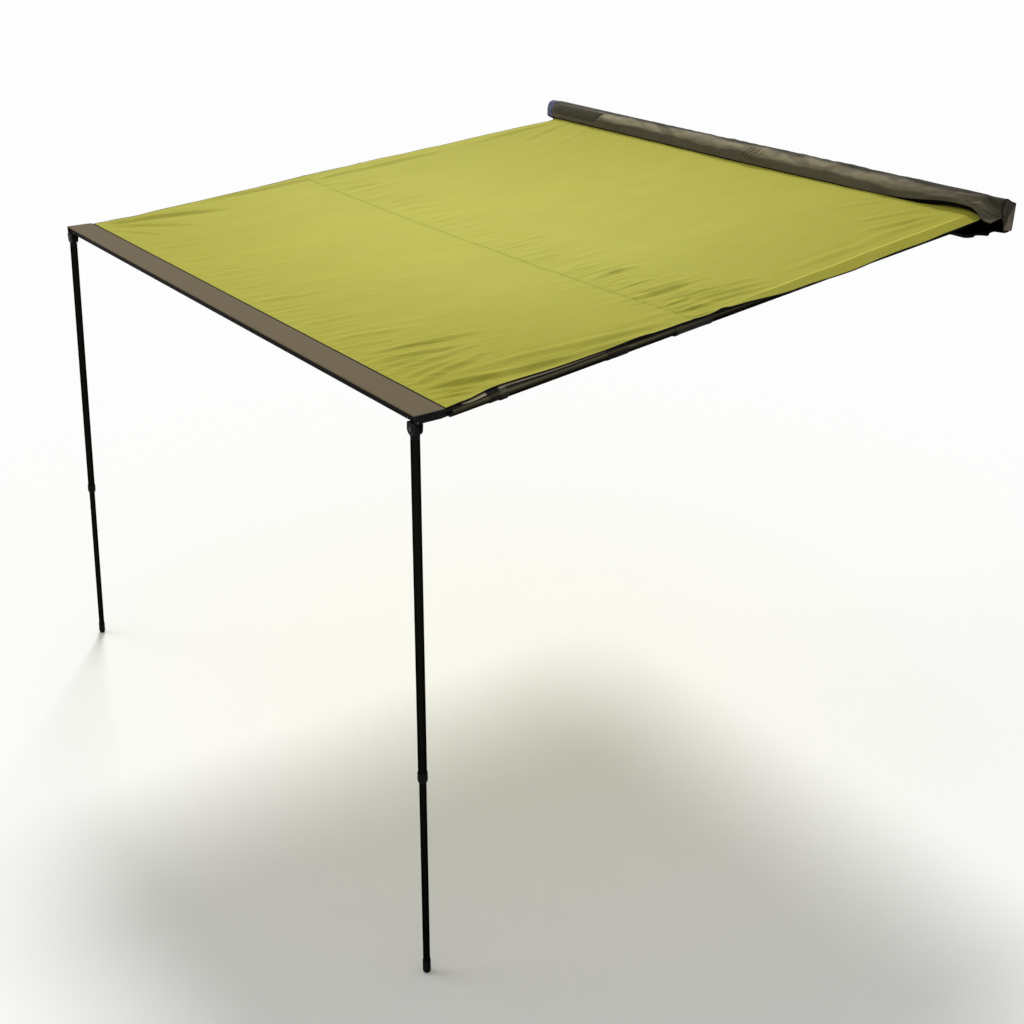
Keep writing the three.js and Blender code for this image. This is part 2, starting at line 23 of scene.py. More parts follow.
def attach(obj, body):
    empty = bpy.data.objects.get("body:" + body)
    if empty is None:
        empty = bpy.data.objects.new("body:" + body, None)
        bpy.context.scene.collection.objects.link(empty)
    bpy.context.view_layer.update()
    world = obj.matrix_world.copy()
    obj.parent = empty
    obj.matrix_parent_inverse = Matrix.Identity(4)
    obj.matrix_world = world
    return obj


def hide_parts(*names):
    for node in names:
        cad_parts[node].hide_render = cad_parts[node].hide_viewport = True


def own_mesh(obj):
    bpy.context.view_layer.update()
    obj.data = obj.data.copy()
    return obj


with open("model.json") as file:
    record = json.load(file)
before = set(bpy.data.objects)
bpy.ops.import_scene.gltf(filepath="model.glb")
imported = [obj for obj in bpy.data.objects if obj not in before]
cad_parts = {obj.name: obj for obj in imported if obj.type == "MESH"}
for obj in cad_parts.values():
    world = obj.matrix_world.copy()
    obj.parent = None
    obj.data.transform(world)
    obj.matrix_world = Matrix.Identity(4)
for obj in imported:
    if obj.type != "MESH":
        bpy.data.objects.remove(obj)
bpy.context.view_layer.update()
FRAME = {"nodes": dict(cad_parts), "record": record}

log = logging.getLogger("awning")

Array = np.ndarray
Marks = tuple[tuple[float, float], ...]
Place = tuple[float, float, float]
Tone = tuple[int, int, int]
Socket = bpy.types.NodeSocket
Value = Socket | float | Sequence[float]

# Points nearer than this are one point
WELD = 1e-6

# Names of the UV map and of the numbers that meshes hold at their points
PATTERN = "pattern"
EDGE = "from_edge"
CREST = "fold_height"

# Angles in degrees from which an edge shows, on shapes made here, on sheets and on copies of the frame's nodes
SHAPE_SHARP = 38.0
SHEET_SHARP = 80.0
COPY_SHARP = 30.0

# An arm's axis: its tip, and how far it rises and closes in for each metre back from the tip
ARM_TIP = (0.988, -1.958, -0.191)
ARM_RISE = 0.0898
ARM_TOE = 0.023

# Place along the canopy of its cross seam, and width of its side hems
SEAM_Y = -1.195
HEM = 0.024

# How far the cover's left end is drawn inwards
LEFT_DRAWN_IN = 0.026

WAY_X = (1.0, 0.0, 0.0)
WAY_Y = (0.0, 1.0, 0.0)
WAY_Z = (0.0, 0.0, 1.0)

DUST: Tone = (70, 67, 60)
PALE = (0.97, 0.97, 0.97, 1.0)
WHITE = (1.0, 1.0, 1.0, 1.0)


class Side(Enum):
    """An end of the awning, with the sign of its X."""

    RIGHT = 1
    LEFT = -1

    @property
    def label(self) -> str:
        """The side's name as the nodes write it."""
        return self.name.lower()


def ease(t: Array | float) -> Array:
    """Runs from 0 to 1 with level ends: three t squared less two t cubed, held outside them."""
    held = np.clip(t, 0.0, 1.0)
    return held * held * (3.0 - 2.0 * held)


def unit(vectors: Array) -> Array:
    """The same vectors, each of length one."""
    given = np.asarray(vectors, float)
    return given / np.linalg.norm(given, axis=-1, keepdims=True)


def square_to(line: Array) -> Array:
    """Unit vectors square to a flat line, on its right as it runs."""
    steps = np.gradient(line, axis=0)
    return unit(np.stack([steps[:, 1], -steps[:, 0]], axis=1))


def evenly_spaced(line: Array, count: int) -> Array:
    """Points at even distances along a line.

    Args:
        line: Points of the line, one a row.
        count: How many points to return.

    Returns:
        The new points: each coordinate read off against the distance walked.
    """
    walked = np.concatenate([[0.0], np.cumsum(np.linalg.norm(np.diff(line, axis=0), axis=1))])
    wanted = np.linspace(0.0, walked[-1], count)
    return np.stack([np.interp(wanted, walked, column) for column in line.T], axis=1)


def curve_through(marks: Sequence[Sequence[float]], count: int) -> Array:
    """A smooth line through marks.

    Formula: between two marks, the cubic whose slope at each mark is half the step between the marks beside it.

    Args:
        marks: Points that the line passes.
        count: How many points to return, evenly spaced.

    Returns:
        The points of the line.
    """
    points = np.asarray(marks, float)
    last = len(points) - 1
    t = np.linspace(0.0, last, 40 * last + 1)
    k = np.minimum(t.astype(int), last - 1)
    f = (t - k)[:, None]
    before, start, end, after = (points[np.clip(k + step, 0, last)] for step in (-1, 0, 1, 2))
    leave, arrive = (end - before) / 2.0, (after - start) / 2.0
    cubic = (2.0 * (start - end) + leave + arrive) * f**3
    square = (3.0 * (end - start) - 2.0 * leave - arrive) * f**2
    return evenly_spaced(cubic + square + leave * f + start, count)


def rounded(corners: Sequence[Sequence[float]], radius: float, closed: bool = False, steps: int = 4) -> Array:
    """A line with its corners eased.

    Formula: each corner becomes the quadratic curve that leaves and meets the line one radius from the corner.

    Args:
        corners: Corners of the line.
        radius: Distance from a corner to the ends of its curve, at most 0.45 of the shorter side.
        closed: Whether the line ends where it starts.
        steps: Points in each corner.

    Returns:
        The points of the eased line.
    """
    mid = np.asarray(corners, float)
    back, ahead = np.roll(mid, 1, axis=0) - mid, np.roll(mid, -1, axis=0) - mid
    reach_back = np.minimum(radius, 0.45 * np.linalg.norm(back, axis=1))[:, None]
    reach_ahead = np.minimum(radius, 0.45 * np.linalg.norm(ahead, axis=1))[:, None]
    start = (mid + unit(back) * reach_back)[:, None]
    end = (mid + unit(ahead) * reach_ahead)[:, None]
    t = np.linspace(0.0, 1.0, steps)[None, :, None]
    curve = (1.0 - t) ** 2 * start + 2.0 * t * (1.0 - t) * mid[:, None] + t**2 * end
    width = mid.shape[1]
    if closed:
        line = curve.reshape(-1, width)
        return np.vstack([line, line[:1]])
    return np.vstack([mid[:1], curve[1:-1].reshape(-1, width), mid[-1:]])


def graded(low: float, high: float, marks: Sequence[tuple[float, float]]) -> Array:
    """Places between two ends whose spacing changes on the way.

    Formula: the count of steps walked is the integral of one over the spacing, and even steps of it are read back.

    Args:
        low: First place.
        high: Last place.
        marks: Pairs of a place and the spacing wanted there, in order.

    Returns:
        The places, both ends among them.
    """
    fine = np.linspace(low, high, 4001)
    spacing = np.interp(fine, *zip(*marks))
    steps = np.concatenate([[0.0], np.cumsum(np.diff(fine) * 2.0 / (spacing[1:] + spacing[:-1]))])
    return np.interp(np.linspace(0.0, steps[-1], int(math.ceil(steps[-1])) + 1), steps, fine)


@dataclass
class Shell:
    """Points and faces of a surface, with a place on its flat pattern for every corner of every face."""

    points: Array
    quads: Array
    tris: Array
    quad_places: Array
    tri_places: Array

    @staticmethod
    def of_grid(grid: Array, pattern: Array | None = None) -> Shell:
        """A surface over a grid of points, closed wherever points of the grid meet.

        Formula: face (i, j) joins grid points (i, j), (i, j + 1), (i + 1, j + 1) and (i + 1, j). Points that
        coincide become one, and a face with two corners on one point becomes a triangle.

        Args:
            grid: Points, as rows, columns and X, Y and Z.
            pattern: Place of each point on the flat pattern in metres, or None for mean distances walked.

        Returns:
            The surface.
        """
        rows, columns = grid.shape[:2]
        if pattern is None:
            pattern = Shell.walked(grid)
        corner = np.arange(rows * columns).reshape(rows, columns)
        faces = np.stack([corner[:-1, :-1], corner[:-1, 1:], corner[1:, 1:], corner[1:, :-1]], axis=-1)
        faces = faces.reshape(-1, 4)
        places = pattern.reshape(-1, 2)[faces]
        flat = grid.reshape(-1, 3)
        _, first, found = np.unique(np.round(flat / WELD), axis=0, return_index=True, return_inverse=True)
        faces = found.reshape(-1)[faces]
        repeated = faces == np.roll(faces, -1, axis=1)
        pairs = repeated.sum(axis=1)
        whole, one = pairs == 0, pairs == 1
        kept = ~repeated[one]
        return Shell(flat[first], faces[whole], faces[one][kept].reshape(-1, 3), places[whole],
                     places[one][kept].reshape(-1, 3, 2))

    @staticmethod
    def kept(grid: Array) -> Array:
        """Which of a grid's points the surface over it keeps, in the surface's order."""
        return np.unique(np.round(grid.reshape(-1, 3) / WELD), axis=0, return_index=True)[1]

    @staticmethod
    def walked(grid: Array) -> Array:
        """Mean distances walked along a grid's columns and rows, as each point's place on a pattern."""
        across = np.linalg.norm(np.diff(grid, axis=1), axis=2).mean(axis=0)
        along = np.linalg.norm(np.diff(grid, axis=0), axis=2).mean(axis=1)
        u = np.concatenate([[0.0], np.cumsum(across)])
        v = np.concatenate([[0.0], np.cumsum(along)])
        return np.stack(np.broadcast_arrays(u[None, :], v[:, None]), axis=-1)

    @staticmethod
    def joined(shells: Sequence[Shell]) -> Shell:
        """Several surfaces as one mesh, each still its own closed part."""
        starts = np.concatenate([[0], np.cumsum([len(s.points) for s in shells])[:-1]])
        return Shell(
            np.concatenate([s.points for s in shells]),
            np.concatenate([s.quads + start for s, start in zip(shells, starts)]),
            np.concatenate([s.tris + start for s, start in zip(shells, starts)]),
            np.concatenate([s.quad_places for s in shells]),
            np.concatenate([s.tri_places for s in shells]),
        )

    def repeated(self, offsets: Array) -> Shell:
        """The surface once at each of several offsets, as one mesh.

        Args:
            offsets: One offset a row.

        Returns:
            All the copies.
        """
        count, size = len(offsets), len(self.points)
        steps = (np.arange(count) * size)[:, None, None]
        return Shell(
            (self.points[None] + offsets[:, None]).reshape(-1, 3),
            (self.quads[None] + steps).reshape(-1, 4),
            (self.tris[None] + steps).reshape(-1, 3),
            np.tile(self.quad_places, (count, 1, 1)),
            np.tile(self.tri_places, (count, 1, 1)),
        )

    def flipped(self) -> Shell:
        """The surface with its faces turned over."""
        return Shell(self.points, self.quads[:, ::-1], self.tris[:, ::-1], self.quad_places[:, ::-1],
                     self.tri_places[:, ::-1])

    def outward(self) -> Shell:
        """The closed surface with its faces outwards, so that its volume comes out above nought."""
        corners = [self.quads[:, [0, 1, 2]], self.quads[:, [0, 2, 3]], self.tris]
        a, b, c = (self.points[np.concatenate(corners)[:, k]] for k in range(3))
        volume = np.einsum("ij,ij->i", a, np.cross(b, c)).sum()
        return self if volume > 0.0 else self.flipped()

    def mesh(self, name: str, sharp: float = SHAPE_SHARP) -> bpy.types.Mesh:
        """The surface as a Blender mesh, smooth but for its sharp edges.

        Args:
            name: The mesh's name.
            sharp: Angle in degrees from which an edge shows.

        Returns:
            The mesh, with its pattern as a UV map.
        """
        made = bpy.data.meshes.new(name)
        made.from_pydata(self.points.tolist(), [], [*self.quads.tolist(), *self.tris.tolist()])
        layer = made.uv_layers.new(name=PATTERN)
        places = np.concatenate([self.quad_places.reshape(-1, 2), self.tri_places.reshape(-1, 2)])
        layer.data.foreach_set("uv", places.astype(np.float32).ravel())
        made.shade_smooth()
        made.set_sharp_from_angle(angle=math.radians(sharp))
        return made


@dataclass(frozen=True)
class Axis:
    """A line to turn or carry shapes along, with two directions square to it."""

    start: Array
    along: Array
    across: Array
    over: Array

    @staticmethod
    def between(start: Sequence[float], along: Sequence[float], over: Sequence[float] = WAY_Z) -> Axis:
        """An axis from a point and two rough directions.

        Args:
            start: Where places along the axis are nought.
            along: The way that it runs.
            over: About which way the second direction points.

        Returns:
            The axis, whose third direction is the cross product of the other two.
        """
        run = unit(along)
        across = unit(np.cross(run, over))
        return Axis(np.asarray(start, float), run, across, np.cross(across, run))

    def at(self, place: Array | float, across: Array | float = 0.0, over: Array | float = 0.0) -> Array:
        """Points at places along the axis and distances beside it."""
        pairs = ((place, self.along), (across, self.across), (over, self.over))
        return self.start + sum(np.asarray(distance)[..., None] * way for distance, way in pairs)


def turned_shell(profile: Array, axis: Axis, sides: int = 64, flutes: int = 0, depth: Array | float = 0.0) -> Shell:
    """A profile turned about an axis.

    Formula: a profile point of radius r at place a gives start + a * along + r * (cos w * across + sin w * over)
    for every angle w. Flutes take depth * (1 + cos(flutes * w)) / 2 off the radius.

    Args:
        profile: Radius and place of each point, ending on the axis or where it starts.
        axis: What it turns about.
        sides: Steps in a full turn.
        flutes: Grooves round it, or 0.
        depth: Depth of the grooves at each point of the profile.

    Returns:
        The closed surface.
    """
    w = np.linspace(0.0, 2.0 * np.pi, sides + 1)
    w[-1] = 0.0
    cut = np.broadcast_to(depth, len(profile))[:, None] * (1.0 + np.cos(flutes * w)) / 2.0
    radius = profile[:, :1] - (cut if flutes else 0.0)
    grid = axis.at(profile[:, 1:] + 0.0 * w, radius * np.cos(w), radius * np.sin(w))
    return Shell.of_grid(grid).outward()


def carried_shell(section: Array, path: Array, first: Array | Sequence[float], second: Array | Sequence[float],
                  looped: bool = False) -> Shell:
    """A section carried along a path.

    Formula: point (i, j) is path i plus the section's j-th pair times path i's two directions. At an open path's
    ends, a fan to the section's middle closes it.

    Args:
        section: Closed outline of pairs.
        path: Points of the path.
        first: Direction of the section's first number, at each point or all along.
        second: Direction of its second number, in the same way.
        looped: Whether the path ends where it starts.

    Returns:
        The closed surface.
    """
    first, second = (np.broadcast_to(way, path.shape)[:, None] for way in (first, second))
    grid = path[:, None] + section[None, :, :1] * first + section[None, :, 1:] * second
    if not looped:
        middle = grid[:, :-1].mean(axis=1, keepdims=True)
        ends = np.broadcast_to(middle, grid.shape)
        grid = np.concatenate([ends[:1], grid, ends[-1:]])
    return Shell.of_grid(grid).outward()


def box_section(wide: float, high: float, radius: float, steps: int = 3) -> Array:
    """A rounded rectangle about nought, as a closed outline for a section, with some steps in each corner."""
    a, b = wide / 2.0, high / 2.0
    return rounded([(-a, -b), (a, -b), (a, b), (-a, b)], radius, closed=True, steps=steps)


@dataclass(frozen=True)
class Crease:
    """A fold that runs straight between two places and fades towards both."""

    x0: float
    y0: float
    x1: float
    y1: float
    wide: float
    high: float

    @staticmethod
    def rows(*rows: Sequence[float]) -> tuple[Crease, ...]:
        """Folds from rows of their first place, last place, width and height."""
        return tuple(Crease(*row) for row in rows)


def creased(x: Array, y: Array, folds: Sequence[Crease], valley: float = 0.4) -> Array:
    """Height that folds give a surface.

    Formula: high * sin(pi t) to the power 0.7, over the share t of the fold's length, times a bell of the
    distance aside over its width, less a lower bell beside it, which makes the fold's valley.

    Args:
        x: First place of each point.
        y: Second place of each point.
        folds: The folds.
        valley: Depth of the valley as a share of the height.

    Returns:
        The height at each point.
    """
    total = np.zeros(np.broadcast(x, y).shape)
    for fold in folds:
        run, rise = fold.x1 - fold.x0, fold.y1 - fold.y0
        length = math.hypot(run, rise)
        along = ((x - fold.x0) * run + (y - fold.y0) * rise) / length**2
        aside = ((x - fold.x0) * rise - (y - fold.y0) * run) / (length * fold.wide)
        fade = np.sin(np.pi * np.clip(along, 0.0, 1.0)) ** 0.7
        bell = np.exp(-aside**2) - valley * np.exp(-((np.abs(aside) - 1.9) ** 2))
        total += fold.high * fade * bell
    return total


def rippled(x: Array, y: Array, shortest: float, longest: float, high: float, seed: int) -> Array:
    """Irregular small waves, the same each run.

    Formula: a sum of 28 sines of random direction and phase, whose wave lengths lie between two limits.

    Args:
        x: First place of each point.
        y: Second place of each point.
        shortest: Shortest wave length.
        longest: Longest wave length.
        high: Height of the sum, as a standard deviation.
        seed: Seed of the random numbers.

    Returns:
        The height at each point.
    """
    rng = np.random.default_rng(seed)
    count = 28
    turn, phase = rng.uniform(0.0, 2.0 * np.pi, (2, count))
    step = 2.0 * np.pi / np.exp(rng.uniform(math.log(shortest), math.log(longest), count))
    total = np.zeros(np.broadcast(x, y).shape)
    for a, p, k in zip(turn, phase, step):
        total += np.sin(k * (np.cos(a) * x + np.sin(a) * y) + p)
    return total * high / math.sqrt(count / 2.0)


class Paint:
    """A material being mixed: its node tree, its shader and short ways to add nodes."""

    def __init__(self, title: str) -> None:
        """Starts an empty material.

        Args:
            title: The material's name.
        """
        self.material = bpy.data.materials.new(title)
        self.material.use_nodes = True
        self.tree = self.material.node_tree
        self.shader = self.tree.nodes["Principled BSDF"]
        self.object_place = self.made("ShaderNodeTexCoord", {}, "Object")

    def made(self, kind: str, values: dict[str | int, Value], output: str | int = 0, **settings: object) -> Socket:
        """One output of a new node.

        Args:
            kind: The node's kind.
            values: What its inputs get, by their names or numbers.
            output: Name or number of the output.
            settings: The node's settings.

        Returns:
            The output.
        """
        node = self.tree.nodes.new(kind)
        for key, setting in settings.items():
            setattr(node, key, setting)
        for key, value in values.items():
            self.feed(node.inputs[key], value)
        return node.outputs[output]

    def feed(self, socket: Socket, value: Value) -> None:
        """Links a socket to another node's, or sets its number or colour."""
        if isinstance(value, bpy.types.NodeSocket):
            self.tree.links.new(value, socket)
        else:
            socket.default_value = value

    def shade(self, **values: Value) -> None:
        """Sets the shader's sockets, named with underscores for spaces, as in Base_Color."""
        for key, value in values.items():
            self.feed(self.shader.inputs[key.replace("_", " ")], value)

    def pattern_place(self) -> Socket:
        """Place on the piece's flat pattern, in metres."""
        return self.made("ShaderNodeUVMap", {}, "UV", uv_map=PATTERN)

    def attribute(self, name: str) -> Socket:
        """A number that the piece's mesh holds at each point."""
        return self.made("ShaderNodeAttribute", {}, "Fac", attribute_name=name)

    def parts(self, place: Socket) -> tuple[Socket, ...]:
        """X, Y and Z of a place."""
        return tuple(self.made("ShaderNodeSeparateXYZ", {0: place}).node.outputs)

    def place_at(self, x: Socket, y: Socket) -> Socket:
        """The place with the given X and Y."""
        return self.made("ShaderNodeCombineXYZ", {0: x, 1: y})

    def scaled(self, place: Socket, scale: Sequence[float]) -> Socket:
        """A place stretched along its axes."""
        return self.made("ShaderNodeMapping", {"Vector": place, "Scale": scale})

    def math(self, operation: str, first: Socket | float, second: Socket | float = 0.0) -> Socket:
        """One Math node."""
        return self.made("ShaderNodeMath", {0: first, 1: second}, operation=operation)

    def times(self, *values: Socket | float) -> Socket:
        """The product of the values."""
        return reduce(lambda first, second: self.math("MULTIPLY", first, second), values)

    def plus(self, first: Socket | float, second: Socket | float) -> Socket:
        """The sum of two values."""
        return self.math("ADD", first, second)

    def less(self, first: Socket | float, second: Socket | float) -> Socket:
        """The first value less the second."""
        return self.math("SUBTRACT", first, second)

    def size(self, value: Socket) -> Socket:
        """A value without its sign."""
        return self.math("ABSOLUTE", value)

    def noise(self, place: Socket, scale: float, detail: float = 3.0, roughness: float = 0.55) -> Socket:
        """Noise from about 0.25 to 0.75 with a mean of a half."""
        values = {"Vector": place, "Scale": scale, "Detail": detail, "Roughness": roughness}
        return self.made("ShaderNodeTexNoise", values)

    def ranged(self, value: Socket, low: float, high: float, to_low: float = 0.0, to_high: float = 1.0) -> Socket:
        """A value read between two limits as between two others, and held outside them."""
        return self.made("ShaderNodeMapRange", dict(enumerate((value, low, high, to_low, to_high))))

    def mixed(self, share: Socket | float, first: Value, second: Value) -> Socket:
        """Two colours mixed by a share."""
        return self.made("ShaderNodeMix", {"Factor": share, 6: first, 7: second}, 2, data_type="RGBA")

    def line_at(self, value: Socket, place: float, half: float) -> Socket:
        """One on a thin line where a value has a given size, and nought off it."""
        return self.ranged(self.size(self.less(value, place)), half, half * 1.6, 1.0, 0.0)

    def relief(self, height: Socket, depth: float, under: Socket | None = None) -> Socket:
        """A bumped normal.

        Args:
            height: Height from 0 to 1.
            depth: What a height of 1 stands for, in metres.
            under: Normal that it is laid on.

        Returns:
            The normal.
        """
        values = {"Strength": 1.0, "Distance": depth, "Height": height}
        if under is not None:
            values["Normal"] = under
        return self.made("ShaderNodeBump", values)

    def weave(self, place: Socket, pitch: float) -> Socket:
        """Height of a plain weave: half plus half of the product of two sines of the pitch, on the pattern."""
        rate = 2.0 * math.pi / pitch
        waves = (self.math("SINE", self.times(part, rate)) for part in self.parts(place)[:2])
        return self.ranged(self.times(*waves), -1.0, 1.0)


def linear(tone: Tone, factor: float = 1.0) -> tuple[float, float, float, float]:
    """A colour of 0 to 255 as a screen shows it, made linear and dimmed or lightened by a factor."""
    share = np.asarray(tone, float) / 255.0
    light = np.where(share <= 0.04045, share / 12.92, ((share + 0.055) / 1.055) ** 2.4) * factor
    red, green, blue = np.clip(light, 0.0, 1.0).tolist()
    return red, green, blue, 1.0


@dataclass(frozen=True)
class Finish:
    """One finish of the awning. A subclass says how it is painted.

    A finish with a painted highlight along an arm has a tone and a reach for it.
    """

    title: str
    tone: Tone
    rubbed: tuple[Tone, float] | None = None

    def paint(self, paint: Paint) -> None:
        """Mixes the finish in an empty material."""
        raise NotImplementedError

    def material(self) -> bpy.types.Material:
        """The finish's material, made once."""
        title = f"{self.title}_look"
        found = bpy.data.materials.get(title)
        if found:
            return found
        paint = Paint(title)
        self.paint(paint)
        # Painted highlight along an arm's outer side
        if self.rubbed:
            rub_along_arm(paint, *self.rubbed)
        return paint.material

    def mottled(self, paint: Paint, place: Socket, scale: float, spread: float) -> Socket:
        """The finish's colour, a little darker and lighter from place to place."""
        share = paint.ranged(paint.noise(place, scale), 0.3, 0.7)
        return paint.mixed(share, linear(self.tone, 1.0 - spread), linear(self.tone, 1.0 + spread))


@dataclass(frozen=True)
class CanopyCloth(Finish):
    """Matt coated canopy cloth with a fine weave, side hems and a felled cross seam."""

    # Painted shade: the darker, more saturated tone that the cloth takes where less light falls
    deep: Tone = (153, 147, 38)
    seam_half: float = 0.0065
    pitch: float = 0.0012

    def paint(self, paint: Paint) -> None:
        """Weave, drawn lines and small creases as relief, thread lines at the seam and hems, uneven colour, and
        painted shade and highlights.
        """
        place = paint.pattern_place()
        x, y, _ = paint.parts(place)
        edge = paint.attribute(EDGE)
        stitch = self.stitches(paint, x, y, edge)
        base = self.toned(paint, place, x, y)
        double = paint.ranged(edge, HEM, HEM + 0.0015, 0.2, 0.0)
        base = paint.mixed(double, base, linear(self.tone, 0.75))
        # Painted highlight along the outer 6 mm of the sheet, where the hem curls
        rim = paint.ranged(edge, 0.0052, 0.0060, 0.5, 0.0)
        base = paint.mixed(rim, base, linear(self.tone, 1.35))
        # Painted highlight and painted shade where the hem bends over the arms
        base = self.over_arms(paint, x, y, base)
        shade = paint.line_at(y, SEAM_Y - self.seam_half - 0.0012, 0.0016)
        base = paint.mixed(paint.times(shade, 0.3), base, linear(self.tone, 0.45))
        base = paint.mixed(paint.times(stitch, 0.3), base, linear(self.tone, 0.55))
        crumple = paint.noise(paint.scaled(place, (1.0, 0.3, 1.0)), 34.0, 4.0, 0.6)
        normal = paint.relief(crumple, 0.0022)
        normal = paint.relief(self.drawn_lines(paint, x, y), 0.0024, normal)
        normal = paint.relief(paint.weave(place, self.pitch), 0.00012, normal)
        normal = paint.relief(stitch, 0.0004, normal)
        paint.shade(Base_Color=base, Normal=normal,
                    Roughness=paint.ranged(crumple, 0.3, 0.7, 0.6, 0.72), Specular_IOR_Level=0.04)

    def toned(self, paint: Paint, place: Socket, x: Socket, y: Socket) -> Socket:
        """The cloth's colour with painted shade: lightest in the middle, darker and more saturated towards the
        rail, the cover and the sides.
        """
        base = self.mottled(paint, paint.scaled(place, (1.0, 0.45, 1.0)), 3.1, 0.03)
        # Painted shade along and across the sheet
        for place_there, start, full, share, tone, factor in (
                (x, -0.1, 1.0, 0.70, self.tone, 0.72), (x, -0.3, -1.0, 0.30, self.tone, 0.75),
                (x, 0.45, 0.92, 0.42, self.deep, 1.0), (y, -0.95, -0.20, 0.40, self.deep, 1.0),
                (y, -1.35, -1.93, 0.42, self.deep, 1.0)):
            base = paint.mixed(paint.ranged(place_there, start, full, 0.0, share), base, linear(tone, factor))
        fine = paint.ranged(paint.noise(place, 240.0, 2.0), 0.35, 0.65)
        return paint.mixed(paint.times(fine, 0.22), base, linear(self.tone, 0.86))

    def over_arms(self, paint: Paint, x: Socket, y: Socket, base: Socket) -> Socket:
        """A painted highlight where the cloth bends over an arm in its rear half, and painted shade on the hem
        outside that line.
        """
        arm = paint.less(ARM_TIP[0] + ARM_TOE * ARM_TIP[1], paint.times(y, ARM_TOE))
        aside = paint.less(paint.size(x), arm)
        rear = paint.times(paint.ranged(y, -1.10, -0.92), paint.ranged(y, -0.10, -0.14))
        # Painted shade on the hem outside the arm
        outside = paint.times(paint.ranged(aside, 0.001, 0.004, 0.0, 0.4), rear)
        base = paint.mixed(outside, base, linear(self.deep, 0.95))
        # Painted highlight along the bend over the arm
        ridge = paint.times(paint.line_at(aside, -0.0005, 0.0022), rear)
        return paint.mixed(paint.times(ridge, 0.6), base, linear(self.tone, 1.25))

    def drawn_lines(self, paint: Paint, x: Socket, y: Socket) -> Socket:
        """Height of fine creases that fan back from the rail and from the cross seam, more of them to the right."""
        fan = self.lines_along(paint, x, y, 0.24, 42.0)
        near_rail = paint.times(paint.ranged(y, -1.50, -1.86), paint.ranged(x, -0.6, 0.7, 0.25, 1.0))
        seam = self.lines_along(paint, x, y, 0.05, 52.0)
        behind = paint.times(paint.ranged(y, -1.203, -1.196), paint.ranged(y, -0.95, -1.13),
                             paint.ranged(x, -0.3, 0.7, 0.3, 1.0))
        return paint.plus(paint.times(fan, near_rail), paint.times(seam, behind))

    @staticmethod
    def lines_along(paint: Paint, x: Socket, y: Socket, lean: float, scale: float) -> Socket:
        """Height of long narrow creases whose X grows by the lean for each metre of Y."""
        across = paint.less(x, paint.times(y, lean))
        place = paint.place_at(across, paint.times(y, 0.09))
        return paint.ranged(paint.noise(place, scale, 2.0, 0.5), 0.42, 0.66)

    def stitches(self, paint: Paint, x: Socket, y: Socket, edge: Socket) -> Socket:
        """One on the threads of the seam's two rows and of each hem's row, four millimetres to the stitch."""
        along_seam = paint.line_at(paint.size(paint.less(y, SEAM_Y)), self.seam_half - 0.0015, 0.0005)
        along_hem = paint.line_at(edge, HEM - 0.002, 0.0005)
        dashes = []
        for line, place in ((along_seam, x), (along_hem, y)):
            run = paint.math("FRACT", paint.times(place, 250.0))
            dashes.append(paint.times(line, paint.ranged(run, 0.72, 0.8, 1.0, 0.0)))
        return paint.math("MAXIMUM", *dashes)


@dataclass(frozen=True)
class CoatedFabric(Finish):
    """Heavy coated fabric over a basket weave."""

    pitch: float = 0.0016
    roughness: float = 0.5
    spread: float = 0.1
    gloss: float = 0.03
    # Where a painted highlight runs along the piece, with painted shade behind it
    worn: tuple[float, float, float, float] | None = None

    def paint(self, paint: Paint) -> None:
        """Weave and creases as relief, scuffed patches, a painted highlight along the shoulder with painted shade
        behind it, and painted shade in the folds beside painted highlights on their crests.
        """
        place = paint.pattern_place()
        base = self.mottled(paint, paint.scaled(paint.object_place, (1.0, 3.0, 3.0)), 5.0, self.spread)
        dust = paint.ranged(paint.noise(paint.object_place, 60.0, 5.0, 0.65), 0.52, 0.72, 0.0, 0.3)
        base = paint.mixed(dust, base, linear(self.tone, 1.45))
        if self.worn:
            base = self.with_wear(paint, place, base)
            # Painted shade in fold valleys and painted highlight on fold crests, by the folds' height
            crest = paint.attribute(CREST)
            for low, high, share, factor in ((-0.04, -0.35, 0.32, 0.30), (0.35, 0.90, 0.30, 2.0)):
                base = paint.mixed(paint.ranged(crest, low, high, 0.0, share), base, linear(self.tone, factor))
        crumple = paint.noise(paint.scaled(paint.object_place, (0.6, 1.4, 1.4)), 26.0, 4.0, 0.6)
        normal = paint.relief(crumple, 0.0034)
        normal = paint.relief(paint.weave(place, self.pitch), 0.0002, normal)
        rough = paint.ranged(crumple, 0.3, 0.7, self.roughness - 0.07, self.roughness + 0.09)
        paint.shade(Base_Color=base, Normal=normal, Roughness=rough, Specular_IOR_Level=self.gloss)

    def with_wear(self, paint: Paint, place: Socket, base: Socket) -> Socket:
        """Paints a highlight in a band that runs along the piece and fades at its ends, and paints shade on what
        lies behind it.
        """
        start, full, still, end = self.worn
        over, along = (paint.parts(p)[0] for p in (place, paint.object_place))
        uneven = paint.noise(paint.scaled(place, (8.0, 1.0, 1.0)), 5.5, 4.0, 0.6)
        waver = paint.ranged(uneven, 0.25, 0.75, -0.010, 0.010)
        over = paint.plus(over, waver)
        over = paint.less(over, paint.ranged(along, 0.35, 0.85, 0.0, 0.008))
        # The painted highlight band
        band = paint.times(paint.ranged(over, start, full), paint.ranged(over, still, end, 1.0, 0.0))
        blotch = paint.noise(paint.scaled(place, (2.0, 1.0, 1.0)), 9.0, 4.0, 0.6)
        patchy = paint.ranged(blotch, 0.3, 0.62, 0.45, 1.0)
        right, left = paint.ranged(along, 0.62, 0.92, 1.0, 0.12), paint.ranged(along, -0.76, -0.69, 0.15, 1.0)
        band = paint.times(band, patchy, paint.times(right, left))
        # Painted shade behind the band
        behind = paint.ranged(over, start - 0.004, start + 0.006, 0.75, 0.0)
        base = paint.mixed(behind, base, linear(self.tone, 0.22))
        return paint.mixed(band, base, linear(self.tone, 3.8))


